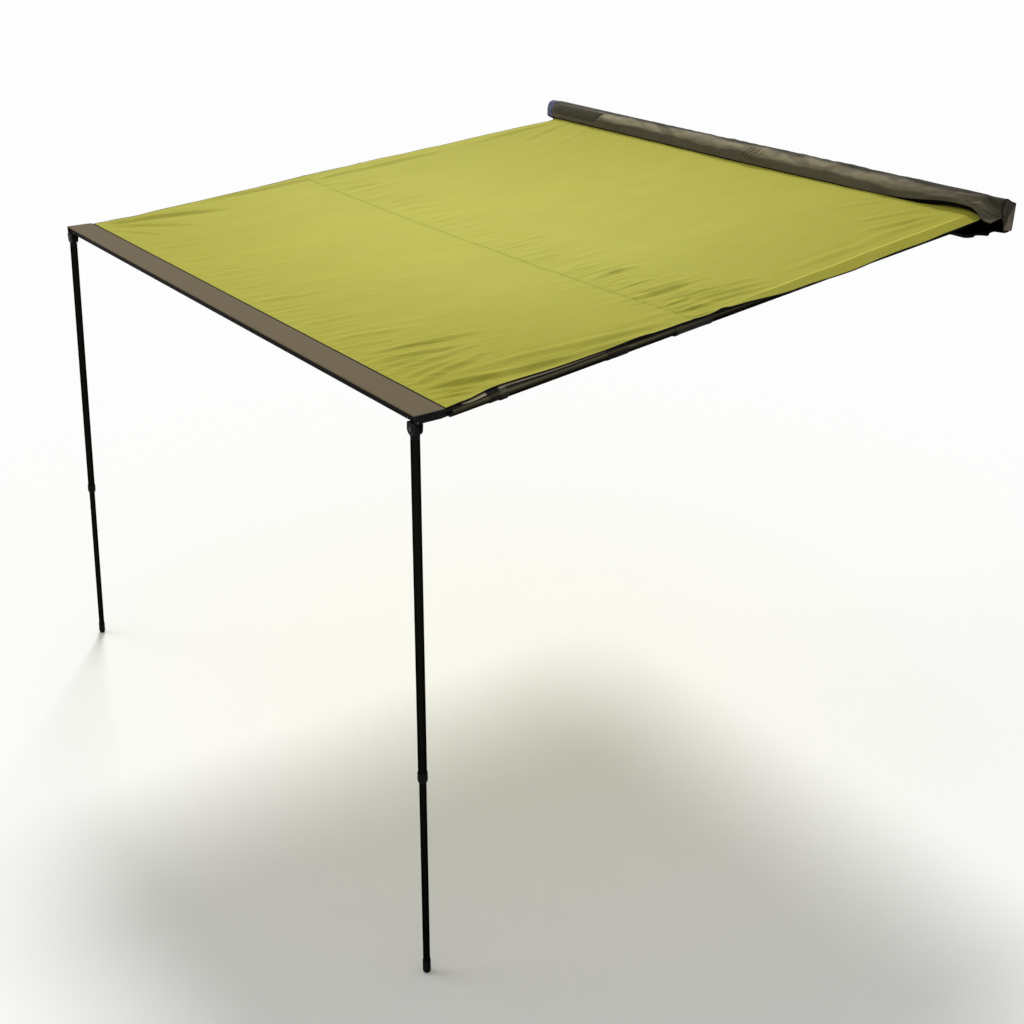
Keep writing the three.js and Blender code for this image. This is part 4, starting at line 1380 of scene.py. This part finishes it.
@dataclass
class Arm(Telescope):
    """One telescoping arm: tubes, twist locks, straps, root and tip."""

    wall: float = 0.00115
    tube_finish: Finish = ARM_TUBE
    right_pivot_y: float = -0.050
    left_pivot_y: float = -0.100
    radii: Place = (0.0125, 0.011, 0.0095)
    tube_start: float = 0.033
    sleeve_y: tuple[float, float] = (-1.135, -1.260)
    collar_y: tuple[float, float] = (-1.780, -1.802)
    band_y: tuple[float, float] = (-1.415, -1.480)
    tie_y: tuple[float, float] = (-1.805, -1.829)
    tongue_y: float = -1.938
    strap_thick: float = 0.0009
    strap_turns: float = 1.17

    def __post_init__(self) -> None:
        """Works out the arm's axis, which starts at its pivot."""
        s = self.side.value
        self.pivot_y = self.right_pivot_y if self.side is Side.RIGHT else self.left_pivot_y
        reach = self.pivot_y - ARM_TIP[1]
        pivot = (s * (ARM_TIP[0] - ARM_TOE * reach), self.pivot_y, ARM_TIP[2] + ARM_RISE * reach)
        self.axis = Axis.between(pivot, (s * ARM_TOE, -1.0, -ARM_RISE), (0.0, -ARM_RISE, 1.0))
        self.stretch = math.sqrt(1.0 + ARM_RISE**2 + ARM_TOE**2)

    def place(self, y: float) -> float:
        """Distance along the arm to a place given by Y."""
        return (self.pivot_y - y) * self.stretch

    def build(self) -> None:
        """Builds the arm's pieces."""
        label = self.side.label
        for part, finish, edge in (("bracket", COATED_STEEL, 0.0008), ("pin", BLACK_ZINC, 0.0006),
                                   ("lug", PLASTIC, 0.0009), ("tip", PLASTIC, 0.0007)):
            refined(f"{label}_arm_{part}", finish, edge)
        sleeve_end = self.place(self.sleeve_y[1])
        collar_end = self.place(self.collar_y[1])
        tongue = self.place(self.tongue_y)
        self.tube("arm_outer", self.radii[0], self.tube_start, sleeve_end - 0.009)
        self.tube("arm_mid", self.radii[1], collar_end - 0.960, collar_end - 0.005)
        self.tube("arm_inner", self.radii[2], collar_end - 0.465, tongue - 0.006)
        self.sleeve()
        self.collar()
        self.strap("rear_tie", self.radii[1] + 0.0010, self.band_y)
        self.strap("front_tie", self.radii[2] + 0.0010, self.tie_y)

    def sleeve(self) -> None:
        """The long twist lock between outer and middle tube: two ribbed rings on a plain barrel."""
        back, front = (self.place(y) for y in self.sleeve_y)
        inner_end = front - 0.0086
        corners = [
            (0.01285, back), (0.0136, back), (0.0142, back + 0.0014), (0.0142, back + 0.0105),
            (0.0136, back + 0.013), (0.0134, back + 0.03), (0.0134, front - 0.03), (0.0136, front - 0.014),
            (0.0142, front - 0.0115), (0.0142, front - 0.0014), (0.0130, front), (0.0114, front),
            (0.0114, inner_end), (0.01285, inner_end)]
        self.grip("arm_sleeve", corners, ARM_GRIP, 30, 0.01415, 0.00045)

    def collar(self) -> None:
        """The short twist lock between middle and inner tube, fluted for grip."""
        back, front = (self.place(y) for y in self.collar_y)
        inner_end = front - 0.0046
        corners = [
            (0.0113, back), (0.0124, back), (0.0132, back + 0.002), (0.0132, back + 0.006), (0.0132, front - 0.007),
            (0.0132, front - 0.003), (0.0119, front), (0.00985, front), (0.00985, inner_end), (0.0113, inner_end)]
        self.grip("arm_collar", corners, ARM_GRIP, 28, 0.01315)

    def strap(self, part: str, radius: float, span: tuple[float, float]) -> None:
        """A strap round the tube, whose end laps over itself and reaches to the canopy's hem.

        Formula: the path comes in level over the tube and turns 1.17 times about it, one thickness further out
        where it starts, over its own end. A flat section is carried along it.
        """
        thick = self.strap_thick
        inward = -self.side.value * np.sign(self.axis.across[0]) * self.axis.across
        turn = np.linspace(0.0, 2.0 * np.pi * self.strap_turns, 78)
        grown = radius + thick * 1.05 * (1.0 - ease(turn / 1.6))
        arc = np.stack([-grown * np.sin(turn), grown * np.cos(turn)], axis=1)
        lead = np.stack([np.linspace(radius + 0.0095, 0.0012, 8), np.full(8, grown[0])], axis=1)
        line = np.vstack([lead, arc])
        out = square_to(line)
        back, front = (self.place(y) for y in span)
        middle = self.axis.start + self.axis.along * (back + front) / 2.0
        path = middle + line[:, :1] * inward + line[:, 1:] * self.axis.over
        normal = out[:, :1] * inward + out[:, 1:] * self.axis.over
        shell = carried_shell(box_section(front - back, thick, 0.0003), path, self.axis.along, normal)
        node = f"{self.side.label}_{part}"
        placed(f"{node}_strap", shell, ARM_STRAP, node, [node])


@dataclass
class Leg(Telescope):
    """One telescoping leg: knuckle, pin, lug, tubes, twist lock and foot."""

    pivot: Place = (0.984, -2.0255, -0.206)
    splay: tuple[float, float] = (0.076, -0.0354)
    drop: float = 1.466
    upper: Place = (0.011, 0.0243, 0.892)
    lower: Place = (0.009, 0.582, 1.436)
    collar_span: tuple[float, float] = (0.872, 0.898)
    foot_top: float = 1.428

    def __post_init__(self) -> None:
        """Works out the leg's axis, which starts at its pivot."""
        s = self.side.value
        x, y, z = self.pivot
        run = (s * self.splay[0], self.splay[1], -self.drop)
        self.axis = Axis.between((s * x, y, z), run, (0.0, 1.0, 0.0))
        self.length = math.hypot(*run)

    def build(self) -> None:
        """Builds the leg's pieces."""
        label = self.side.label
        parts = (("knuckle", PLASTIC, 0.0016), ("pin", BLACK_ZINC, 0.0007), ("lug", PLASTIC, 0.0009))
        for part, finish, edge in parts:
            refined(f"{label}_leg_{part}", finish, edge, 3)
        self.tube("upper_leg", *self.upper)
        self.tube("lower_leg", *self.lower)
        self.collar()
        self.foot()

    def collar(self) -> None:
        """The twist lock on the upper tube's end, fluted for grip between two plain lips."""
        top, end = self.collar_span
        seat = self.upper[2] + 0.0004
        corners = [
            (0.01135, top), (0.0122, top), (0.0127, top + 0.0025), (0.0128, top + 0.005), (0.0128, end - 0.008),
            (0.0127, end - 0.0055), (0.0122, end - 0.004), (0.0114, end), (0.00945, end), (0.00945, seat),
            (0.01135, seat)]
        self.grip("leg_collar", corners, PLASTIC, 28, 0.01275)

    def foot(self) -> None:
        """The rubber foot: a cup over the tube with two grooves and a rounded sole."""
        top, end = self.foot_top, self.length
        seat = self.lower[2] + 0.0005
        line = rounded([
            (0.0, end), (0.0065, end - 0.0006), (0.0090, end - 0.003), (0.0104, end - 0.008),
            (0.0104, end - 0.0120), (0.0098, end - 0.0126), (0.0098, end - 0.0138), (0.0104, end - 0.0144),
            (0.0104, end - 0.0190), (0.0098, end - 0.0196), (0.0098, end - 0.0208), (0.0104, end - 0.0214),
            (0.0103, top + 0.003), (0.0100, top), (0.0094, top), (0.0094, seat), (0.0, seat),
        ], 0.0006)
        self.turned("foot", "cup", line, RUBBER, 56)


@dataclass
class Rail:
    """The front rail: plate, channel, end caps, screws and the bead in its groove."""

    half_length: float = 0.996
    bead_radius: float = 0.0022
    bead_place: tuple[float, float] = (-1.9599, -0.1763)
    screw_radius: float = 0.0022

    def build(self) -> None:
        """Eases the edges of the hard parts, and adds bead and screws."""
        refined("rail_plate", PLATE, 0.0007, 3)
        refined("rail_channel", CHANNEL, 0.0006)
        for side in Side:
            cap = f"{side.label}_rail_cap"
            refined(cap, PLASTIC, 0.0009, 3)
            self.gusset(side)
            s = side.value
            self.screw(f"{side.label}_cap_screw", (s * 1.0, -2.0285, -0.1885), (s, 0.0, 0.0), cap)
            spot = (s * 0.962, -2.0300, -0.1873)
            self.screw(f"{side.label}_channel_screw", spot, (0.0, -1.0, 0.0), "rail_channel")
        bead_rod("front_bead", self.half_length - 0.006, self.bead_radius, self.bead_place)

    def gusset(self, side: Side) -> None:
        """A hollow-rounded web in the corner between the leg's knuckle and the rail's underside."""
        y, z, r = -2.0140, -0.1922, 0.0150
        w = np.linspace(0.0, np.pi / 2.0, 12)
        arc = np.stack([y + r - r * np.cos(w), z - r + r * np.sin(w)], axis=1)
        corners = np.vstack([arc, [(y, z)]])
        x = side.value * 0.984
        middle = corners.mean(axis=0) * 0.5 + np.array([y, z]) * 0.5
        ring = np.vstack([corners, corners[:1]])
        rims = ((-0.006, 0.0), (-0.006, 0.97), (-0.0055, 1.0), (0.0055, 1.0), (0.006, 0.97), (0.006, 0.0))
        spots = [np.column_stack([np.full(len(ring), x + at), middle + (ring - middle) * size])
                 for at, size in rims]
        shell = Shell.of_grid(np.array(spots)).outward()
        placed(f"{side.label}_rail_gusset", shell, PLASTIC, f"{side.label}_rail_cap")

    def screw(self, name: str, spot: Place, out: Place, node: str) -> None:
        """A pan-head screw with a round socket, its head on a face.

        Args:
            name: The piece's name.
            spot: Middle of the head's seat.
            out: The way that the head points.
            node: The node that it is screwed into.
        """
        r = self.screw_radius
        profile = rounded([(0.0, 0.00005), (r, 0.00005), (r, 0.0008), (0.75 * r, 0.0015), (0.42 * r, 0.0016),
                           (0.40 * r, 0.0007), (0.0, 0.0006)], 0.0002)
        placed(name, turned_shell(profile, Axis.between(spot, out, (0.0, 0.3, 1.0)), 32), ZINC, node)


@dataclass
class Canopy:
    """The canopy: one sheet from the rail's groove over the arms and under the cover's lip to the board."""

    front: tuple[float, float] = (-1.957, -0.1749)
    lip: tuple[float, float] = (-0.090, -0.007)
    tail: Marks = ((-0.058, 0.012), (-0.029, 0.031), (-0.022, 0.031))
    fall: float = 0.09003
    sag: float = 0.013
    sag_half: float = 0.93
    thick: float = 0.0010
    edge_y: float = -1.9518
    normal: Place = (0.0, -0.0897, 0.996)
    corner_rise: float = 0.010
    hem_slope: float = 0.24
    hem_bend: float = 0.0022
    felled: float = 0.0009
    hem_marks: Marks = (
        (-1.957, 0.992), (-1.900, 0.988), (-1.800, 0.972), (-1.600, 0.979), (-1.300, 0.978), (-1.100, 0.982),
        (-0.850, 0.999), (-0.640, 1.004), (-0.400, 0.996), (-0.022, 0.984))
    folds: tuple[Crease, ...] = Crease.rows(
        (0.925, -1.950, 0.962, -1.845, 0.006, 0.0036), (0.890, -1.950, 0.955, -1.790, 0.007, 0.0046),
        (0.856, -1.948, 0.930, -1.730, 0.008, 0.0052), (0.830, -1.942, 0.784, -1.690, 0.011, 0.0052),
        (0.783, -1.942, 0.768, -1.780, 0.008, 0.0032), (0.732, -1.942, 0.724, -1.660, 0.011, 0.0044),
        (0.680, -1.942, 0.712, -1.760, 0.008, 0.0034), (0.640, -1.942, 0.700, -1.690, 0.009, 0.0042),
        (0.582, -1.935, 0.655, -1.610, 0.011, 0.0050), (0.520, -1.942, 0.552, -1.790, 0.008, 0.0028),
        (0.448, -1.942, 0.500, -1.730, 0.010, 0.0034), (0.372, -1.942, 0.394, -1.820, 0.009, 0.0022),
        (0.296, -1.940, 0.335, -1.760, 0.010, 0.0026), (0.178, -1.940, 0.205, -1.820, 0.009, 0.0020),
        (0.055, -1.940, 0.112, -1.720, 0.011, 0.0030), (-0.080, -1.940, -0.058, -1.830, 0.010, 0.0018),
        (-0.240, -1.940, -0.215, -1.780, 0.011, 0.0024), (-0.420, -1.940, -0.392, -1.810, 0.010, 0.0020),
        (-0.600, -1.940, -0.560, -1.780, 0.011, 0.0024), (0.872, -1.905, 0.978, -1.500, 0.014, 0.0060),
        (0.930, -1.720, 0.976, -1.330, 0.010, 0.0060), (0.840, -1.800, 0.905, -1.420, 0.013, 0.0042),
        (0.895, -1.560, 0.950, -1.240, 0.012, 0.0048), (0.812, -1.186, 0.872, -0.870, 0.008, 0.0044),
        (0.860, -1.182, 0.916, -0.870, 0.008, 0.0048), (0.905, -1.170, 0.946, -0.890, 0.007, 0.0040),
        (0.745, -1.186, 0.778, -0.940, 0.008, 0.0032), (0.895, -0.800, 0.905, -0.300, 0.014, 0.0030),
        (0.880, -0.500, 0.905, -0.110, 0.012, 0.0036), (0.820, -0.420, 0.892, -0.095, 0.011, 0.0040),
        (0.740, -0.380, 0.830, -0.092, 0.012, 0.0030), (0.610, -0.300, 0.690, -0.092, 0.012, 0.0024),
        (-0.975, -1.945, -0.820, -1.540, 0.012, 0.0080), (-0.950, -1.942, -0.730, -1.700, 0.010, 0.0052),
        (-0.900, -1.942, -0.700, -1.820, 0.009, 0.0034), (-0.960, -1.620, -0.930, -1.150, 0.012, 0.0060),
        (-0.910, -1.180, -0.905, -0.640, 0.014, 0.0050), (-0.900, -0.560, -0.930, -0.100, 0.012, 0.0045),
        (-0.780, -0.420, -0.880, -0.095, 0.012, 0.0040), (-0.640, -0.340, -0.760, -0.095, 0.011, 0.0030),
        (-0.480, -0.280, -0.560, -0.095, 0.011, 0.0022),
    )
    tape_inset: float = 0.004
    tape_below: float = 0.0015
    tape_fall: float = 0.0036
    tape_thick: float = 0.0006
    puckers: int = 58
    pucker_seed: int = 23
    taupe_tape: Marks = (
        (-1.916, 0.0005), (-1.890, 0.0075), (-1.838, 0.0115), (-1.832, 0.0115))
    long_tape: Marks = (
        (-1.797, 0.0078), (-1.760, 0.0066), (-1.680, 0.0060), (-1.600, 0.0046), (-1.540, 0.0034), (-1.482, 0.0024))
    # A black tape over each tube's top, beside the tan one, that stands in for the shade there
    long_backing: Marks = (
        (-1.797, 0.0125), (-1.700, 0.0120), (-1.600, 0.0095), (-1.540, 0.0070), (-1.482, 0.0045))
    corner_tape: Marks = ((-1.9545, 0.0075), (-1.925, 0.0085), (-1.905, 0.0085))
    strap_tape: Marks = ((-1.834, 0.0130), (-1.815, 0.0130), (-1.796, 0.0130))
    rear_tape: Marks = (
        (-1.417, 0.0040), (-1.300, 0.0060), (-1.160, 0.0050), (-1.050, 0.0030), (-0.950, 0.0012))

    def half_width(self, y: Array) -> Array:
        """Half width of the sheet at a place along it: eased between the marks."""
        places, widths = np.array(self.hem_marks).T
        k = np.clip(np.searchsorted(places, y) - 1, 0, len(places) - 2)
        t = (y - places[k]) / (places[k + 1] - places[k])
        return widths[k] + (widths[k + 1] - widths[k]) * ease(t)

    def seam_puckers(self) -> list[Crease]:
        """Seeded small folds that run back from the cross seam, taller towards the right end."""
        rng = np.random.default_rng(self.pucker_seed)
        found = []
        for x in np.linspace(-0.93, 0.95, self.puckers):
            start = x + rng.uniform(-0.012, 0.012)
            lean = rng.uniform(-0.03, 0.045)
            reach = rng.uniform(0.09, 0.24)
            strength = 0.65 + 0.85 * float(ease((x - 0.1) / 0.8)) + 0.3 * float(ease((-x - 0.5) / 0.4))
            high = rng.uniform(0.0014, 0.0042) * strength
            wide = rng.uniform(0.005, 0.010)
            found.append(Crease(start, SEAM_Y - 0.012, start + lean, SEAM_Y + reach, wide, high))
            front = rng.uniform(0.04, 0.10)
            found.append(Crease(start, SEAM_Y + 0.010, start - lean, SEAM_Y - front, 0.008, 0.35 * high))
        return found

    def lift(self, x: Array, y: Array) -> Array:
        """Height of the sheet over its straight fall.

        Formula: a sag of one less the square of the place across, times a half sine along, plus folds and puckers
        that fade at the rail and the lip and lie no lower than 1.6 mm over an arm, a felled seam 0.9 mm
        proud, and side hems that hang over the arms.
        """
        depth = (y - self.front[0]) / (self.lip[0] - self.front[0])
        held = ease((y - self.front[0] - 0.004) / 0.07) * ease((self.lip[0] + 0.02 - y) / 0.05)
        bowl = np.maximum(0.0, 1.0 - (x / self.sag_half) ** 2)
        total = -self.sag * bowl * np.sin(np.pi * np.clip(depth, 0.0, 1.0))
        total += held * (creased(x, y, self.folds) + creased(x, y, self.seam_puckers(), 0.25))
        total += held * rippled(x, y, 0.12, 0.5, 0.0006, 3)
        over_arm = ease((0.030 - np.abs(np.abs(x) - self.arm_x(y))) / 0.014)
        total += over_arm * np.maximum(0.0, -0.0016 - total)
        total += self.felled * ease((0.0090 - np.abs(y - SEAM_Y)) / 0.004)
        return total + self.hem_drop(x, y)

    def hem_drop(self, x: Array, y: Array) -> Array:
        """Fall of the hem outside the arm's axis over the rear half: a slope that starts in a tight bend."""
        aside = np.abs(x) - self.arm_x(y)
        bent = (np.sqrt(aside**2 + self.hem_bend**2) + aside) / 2.0
        return -self.hem_slope * bent * ease((y + 1.16) / 0.25) * ease((-0.040 - y) / 0.05)

    @staticmethod
    def arm_x(y: Array) -> Array:
        """Distance of the arm's axis from the middle at a place along it."""
        return ARM_TIP[0] - ARM_TOE * (y - ARM_TIP[1])

    def straight(self, y: Array) -> Array:
        """Height of the sheet's straight fall, and of its path under the lip and into the board's groove."""
        inside_y, inside_z = np.array([self.lip, *self.tail]).T
        slope = self.front[1] + self.fall * (y - self.front[0])
        return np.where(y > self.lip[0], np.interp(y, inside_y, inside_z), slope)

    def point(self, x: Array, y: Array) -> Array:
        """Points of the sheet's middle at places across and along, the right rear corner 10 mm higher."""
        corner = self.corner_rise * ease(x) * ease((y + 1.1) / 0.9) * ease((-0.050 - y) / 0.03)
        return np.stack([x, y, self.straight(y) + self.lift(x, y) + corner], axis=-1)

    def build(self) -> None:
        sheet = self.sheet()
        trims = [self.binding(side) for side in Side]
        # The last, black tape stands in for the shade on each tube's top
        for part, marks, finish, drop in (
                ("taupe_tape", self.taupe_tape, FACING, 0.0), ("long_taupe_tape", self.long_tape, FACING, 0.0),
                ("corner_tape", self.corner_tape, BINDING, 0.0), ("strap_tape", self.strap_tape, BINDING, 0.0),
                ("rear_tape", self.rear_tape, BINDING, 0.0), ("long_backing", self.long_backing, BINDING, 0.0008)):
            trims += [self.tape(side, part, marks, finish, drop) for side in Side]
        self.front_cord()
        for piece in (sheet, *trims):
            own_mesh(piece)

    def sheet(self) -> bpy.types.Object:
        """The sheet itself, on a grid that is finer at its sides, at the seam and at the rail."""
        t = graded(-1.0, 1.0, [(-0.86, 0.0068), (-0.78, 0.0112), (0.52, 0.0112), (0.64, 0.0066)])
        spacing = [
            (-1.70, 0.0078), (-1.62, 0.0130), (-1.28, 0.0130), (-1.22, 0.0062), (-0.98, 0.0066), (-0.90, 0.0130)]
        y = graded(self.front[0], self.lip[0], spacing)
        y = np.concatenate([y, np.linspace(self.lip[0], self.tail[-1][0], 8)[1:]])
        rows, columns = np.meshgrid(y, t, indexing="ij")
        x = columns * self.half_width(rows)
        shell = Shell.of_grid(self.point(x, rows), np.stack([x, rows], axis=-1))
        piece = cloth("canopy_sheet", shell, CLOTH, "canopy", self.thick, replaces=True, offset=0.0)
        xs, ys, _ = shell.points.T
        held_number(piece, EDGE, self.half_width(ys) - np.abs(xs))
        return piece

    def edge_line(self, side: Side, low: float, high: float, count: int, inset: float) -> Array:
        """Points along one side of the sheet, a distance in from its edge."""
        y = np.linspace(low, high, count)
        return self.point(side.value * (self.half_width(y) - inset), y)

    def binding(self, side: Side) -> bpy.types.Object:
        """The black tape folded round the sheet's edge: a flat rounded section carried along it."""
        path = self.edge_line(side, self.front[0] + 0.004, self.lip[0] + 0.03, 420, 0.0005)
        shell = carried_shell(box_section(0.0034, 0.0026, 0.0010), path, WAY_X, self.normal)
        return placed(f"{side.label}_edge_binding", shell, BINDING, "canopy")

    def tape(self, side: Side, part: str, marks: Sequence[tuple[float, float]], finish: Finish,
             drop: float) -> bpy.types.Object:
        """A flat tape that lies from under the hem out over the arm's tube.

        Formula: at each place the tape starts 4 mm inside the hem, 1.5 mm below the sheet's middle, and runs
        straight out past the hem by the marked width, to 3.6 mm below the sheet's straight fall. It is 0.6 mm
        thick, and all of it lies lower by the drop.

        Args:
            side: The end of the awning.
            part: What the piece's name ends in.
            marks: Pairs of a place along and the width that shows there.
            finish: The tape's finish.
            drop: How much lower the tape lies.

        Returns:
            The tape.
        """
        places, widths = np.array(marks).T
        y = np.linspace(places[0], places[-1], max(12, int((places[-1] - places[0]) / 0.004)))
        wide = np.interp(y, places, widths)
        t = np.linspace(0.0, 1.0, 6)
        half = self.half_width(y)
        start = self.point(side.value * (half - self.tape_inset), y)
        run = t * (wide + self.tape_inset)[:, None]
        outer = (self.straight(y) - self.tape_fall - drop)[:, None]
        inner = (start[:, 2] - self.tape_below - drop)[:, None]
        upper = start[:, None] + np.stack([side.value * run, 0.0 * run, 0.0 * run], axis=-1)
        upper[..., 2] = inner + (outer - inner) * t
        ring = np.concatenate([upper, upper[:, ::-1] - [0.0, 0.0, self.tape_thick], upper[:, :1]], axis=1)
        middle = np.broadcast_to(ring[:, :-1].mean(axis=1, keepdims=True), ring.shape)
        shell = Shell.of_grid(np.concatenate([middle[:1], ring, middle[-1:]])).outward()
        return placed(f"{side.label}_{part}", shell, finish, "canopy")

    def front_cord(self) -> bpy.types.Object:
        """The black edge that shows as a line where the sheet enters the rail's groove."""
        x = np.linspace(-0.990, 0.990, 200)
        path = np.column_stack([x, np.full(200, self.edge_y), np.full(200, self.front[1] + 0.0018)])
        shell = carried_shell(box_section(0.0056, 0.0014, 0.0005), path, WAY_Y, WAY_Z)
        return placed("canopy_front_edge", shell, BINDING, "front_bead")


@dataclass
class Studio:
    """The camera of the photograph, a plain pale floor and soft light."""

    azimuth: float = 52.617
    elevation: float = 25.261
    roll: float = 1.055
    focal_pixels: float = 1414.8
    image_pixels: float = 1024.0
    sensor: float = 36.0
    eye: Place = (3.3869, -3.5915, 0.9464)
    floor_z: float = -1.672
    floor_radius: float = 60.0
    sky: float = 0.45
    lamps: tuple[tuple[str, float, float, Place], ...] = (
        ("soft_key", 1.95, 16.0, (-0.55, 0.36, 0.75)), ("low_fill", 0.9, 40.0, (-0.72, -0.64, 0.35)))

    def build(self) -> None:
        """Makes camera, floor, sky and lamps, and shows colours as they are."""
        bpy.context.scene.view_settings.view_transform = "Standard"
        self.camera()
        self.floor()
        self.world()
        for name, strength, spread, from_where in self.lamps:
            self.lamp(name, strength, spread, from_where)

    def camera(self) -> None:
        """The camera, from its azimuth, elevation and roll round the view's axis."""
        a, e, r = (math.radians(n) for n in (self.azimuth, self.elevation, self.roll))
        back = np.array([math.sin(a) * math.cos(e), -math.cos(a) * math.cos(e), math.sin(e)])
        level = np.array([math.cos(a), math.sin(a), 0.0])
        up = np.cross(back, level)
        right = math.cos(r) * level + math.sin(r) * up
        over = -math.sin(r) * level + math.cos(r) * up
        data = bpy.data.cameras.new("photo_camera")
        data.sensor_width = self.sensor
        data.lens = self.focal_pixels / self.image_pixels * self.sensor
        data.clip_start, data.clip_end = 0.05, 200.0
        camera = in_scene("photo_camera", data)
        turn = np.column_stack([right, over, back])
        camera.matrix_world = Matrix.Translation(self.eye) @ Matrix(turn.tolist()).to_4x4()
        bpy.context.scene.camera = camera

    def floor(self) -> None:
        """A plain pale disc under the feet, whose rings widen outwards."""
        radius = np.concatenate([[0.0], np.geomspace(0.5, self.floor_radius, 24)])[:, None]
        w = np.linspace(0.0, 2.0 * np.pi, 97)[None]
        grid = np.stack([radius * np.cos(w), radius * np.sin(w) - 1.0, np.full((25, 97), self.floor_z)], axis=-1)
        mesh = Shell.of_grid(grid).mesh("studio_floor")
        floor = in_scene("studio_floor", mesh)
        paint = Paint("studio_floor")
        paint.shade(Base_Color=PALE, Roughness=0.9, Specular_IOR_Level=0.0)
        mesh.materials.append(paint.material)

    def world(self) -> None:
        """Plain soft light from all round, and white where camera, gloss or glass sees the sky."""
        world = bpy.data.worlds.new("studio")
        bpy.context.scene.world = world
        world.use_nodes = True
        tree = world.node_tree
        kinds = ("LightPath", "Math", "Math", "Background", "MixShader")
        light = tree.nodes["Background"]
        path, either, straight, seen, mix = (tree.nodes.new(f"ShaderNode{kind}") for kind in kinds)
        for node, strength in ((light, self.sky), (seen, 1.0)):
            node.inputs["Color"].default_value = WHITE
            node.inputs["Strength"].default_value = strength
        for node in (either, straight):
            node.operation = "MAXIMUM"
        rays = path.outputs
        for start, end in (
                (rays["Is Glossy Ray"], either.inputs[0]), (rays["Is Transmission Ray"], either.inputs[1]),
                (rays["Is Camera Ray"], straight.inputs[0]), (either.outputs[0], straight.inputs[1]),
                (straight.outputs[0], mix.inputs[0]), (light.outputs[0], mix.inputs[1]),
                (seen.outputs[0], mix.inputs[2]), (mix.outputs[0], tree.nodes["World Output"].inputs[0])):
            tree.links.new(start, end)

    @staticmethod
    def lamp(name: str, strength: float, spread: float, from_where: Place) -> None:
        """A soft lamp far off.

        Args:
            name: The lamp's name.
            strength: Its strength as a sun.
            spread: Its apparent size in degrees.
            from_where: The way to it.
        """
        data = bpy.data.lights.new(name, "SUN")
        data.energy = strength
        data.angle = math.radians(spread)
        lamp = in_scene(name, data)
        back = unit(from_where)
        right = unit(np.cross(WAY_Y, back))
        turn = np.column_stack([right, np.cross(back, right), back])
        lamp.matrix_world = Matrix(turn.tolist()).to_4x4()


def main() -> None:
    """Builds the studio and the awning."""
    logging.basicConfig(level=logging.INFO, format="%(name)s: %(message)s")
    Studio().build()
    Board().build()
    SoftCover().build()
    Rail().build()
    Canopy().build()
    for side in Side:
        Arm(side).build()
        Leg(side).build()


if __name__ == "__main__":
    main()
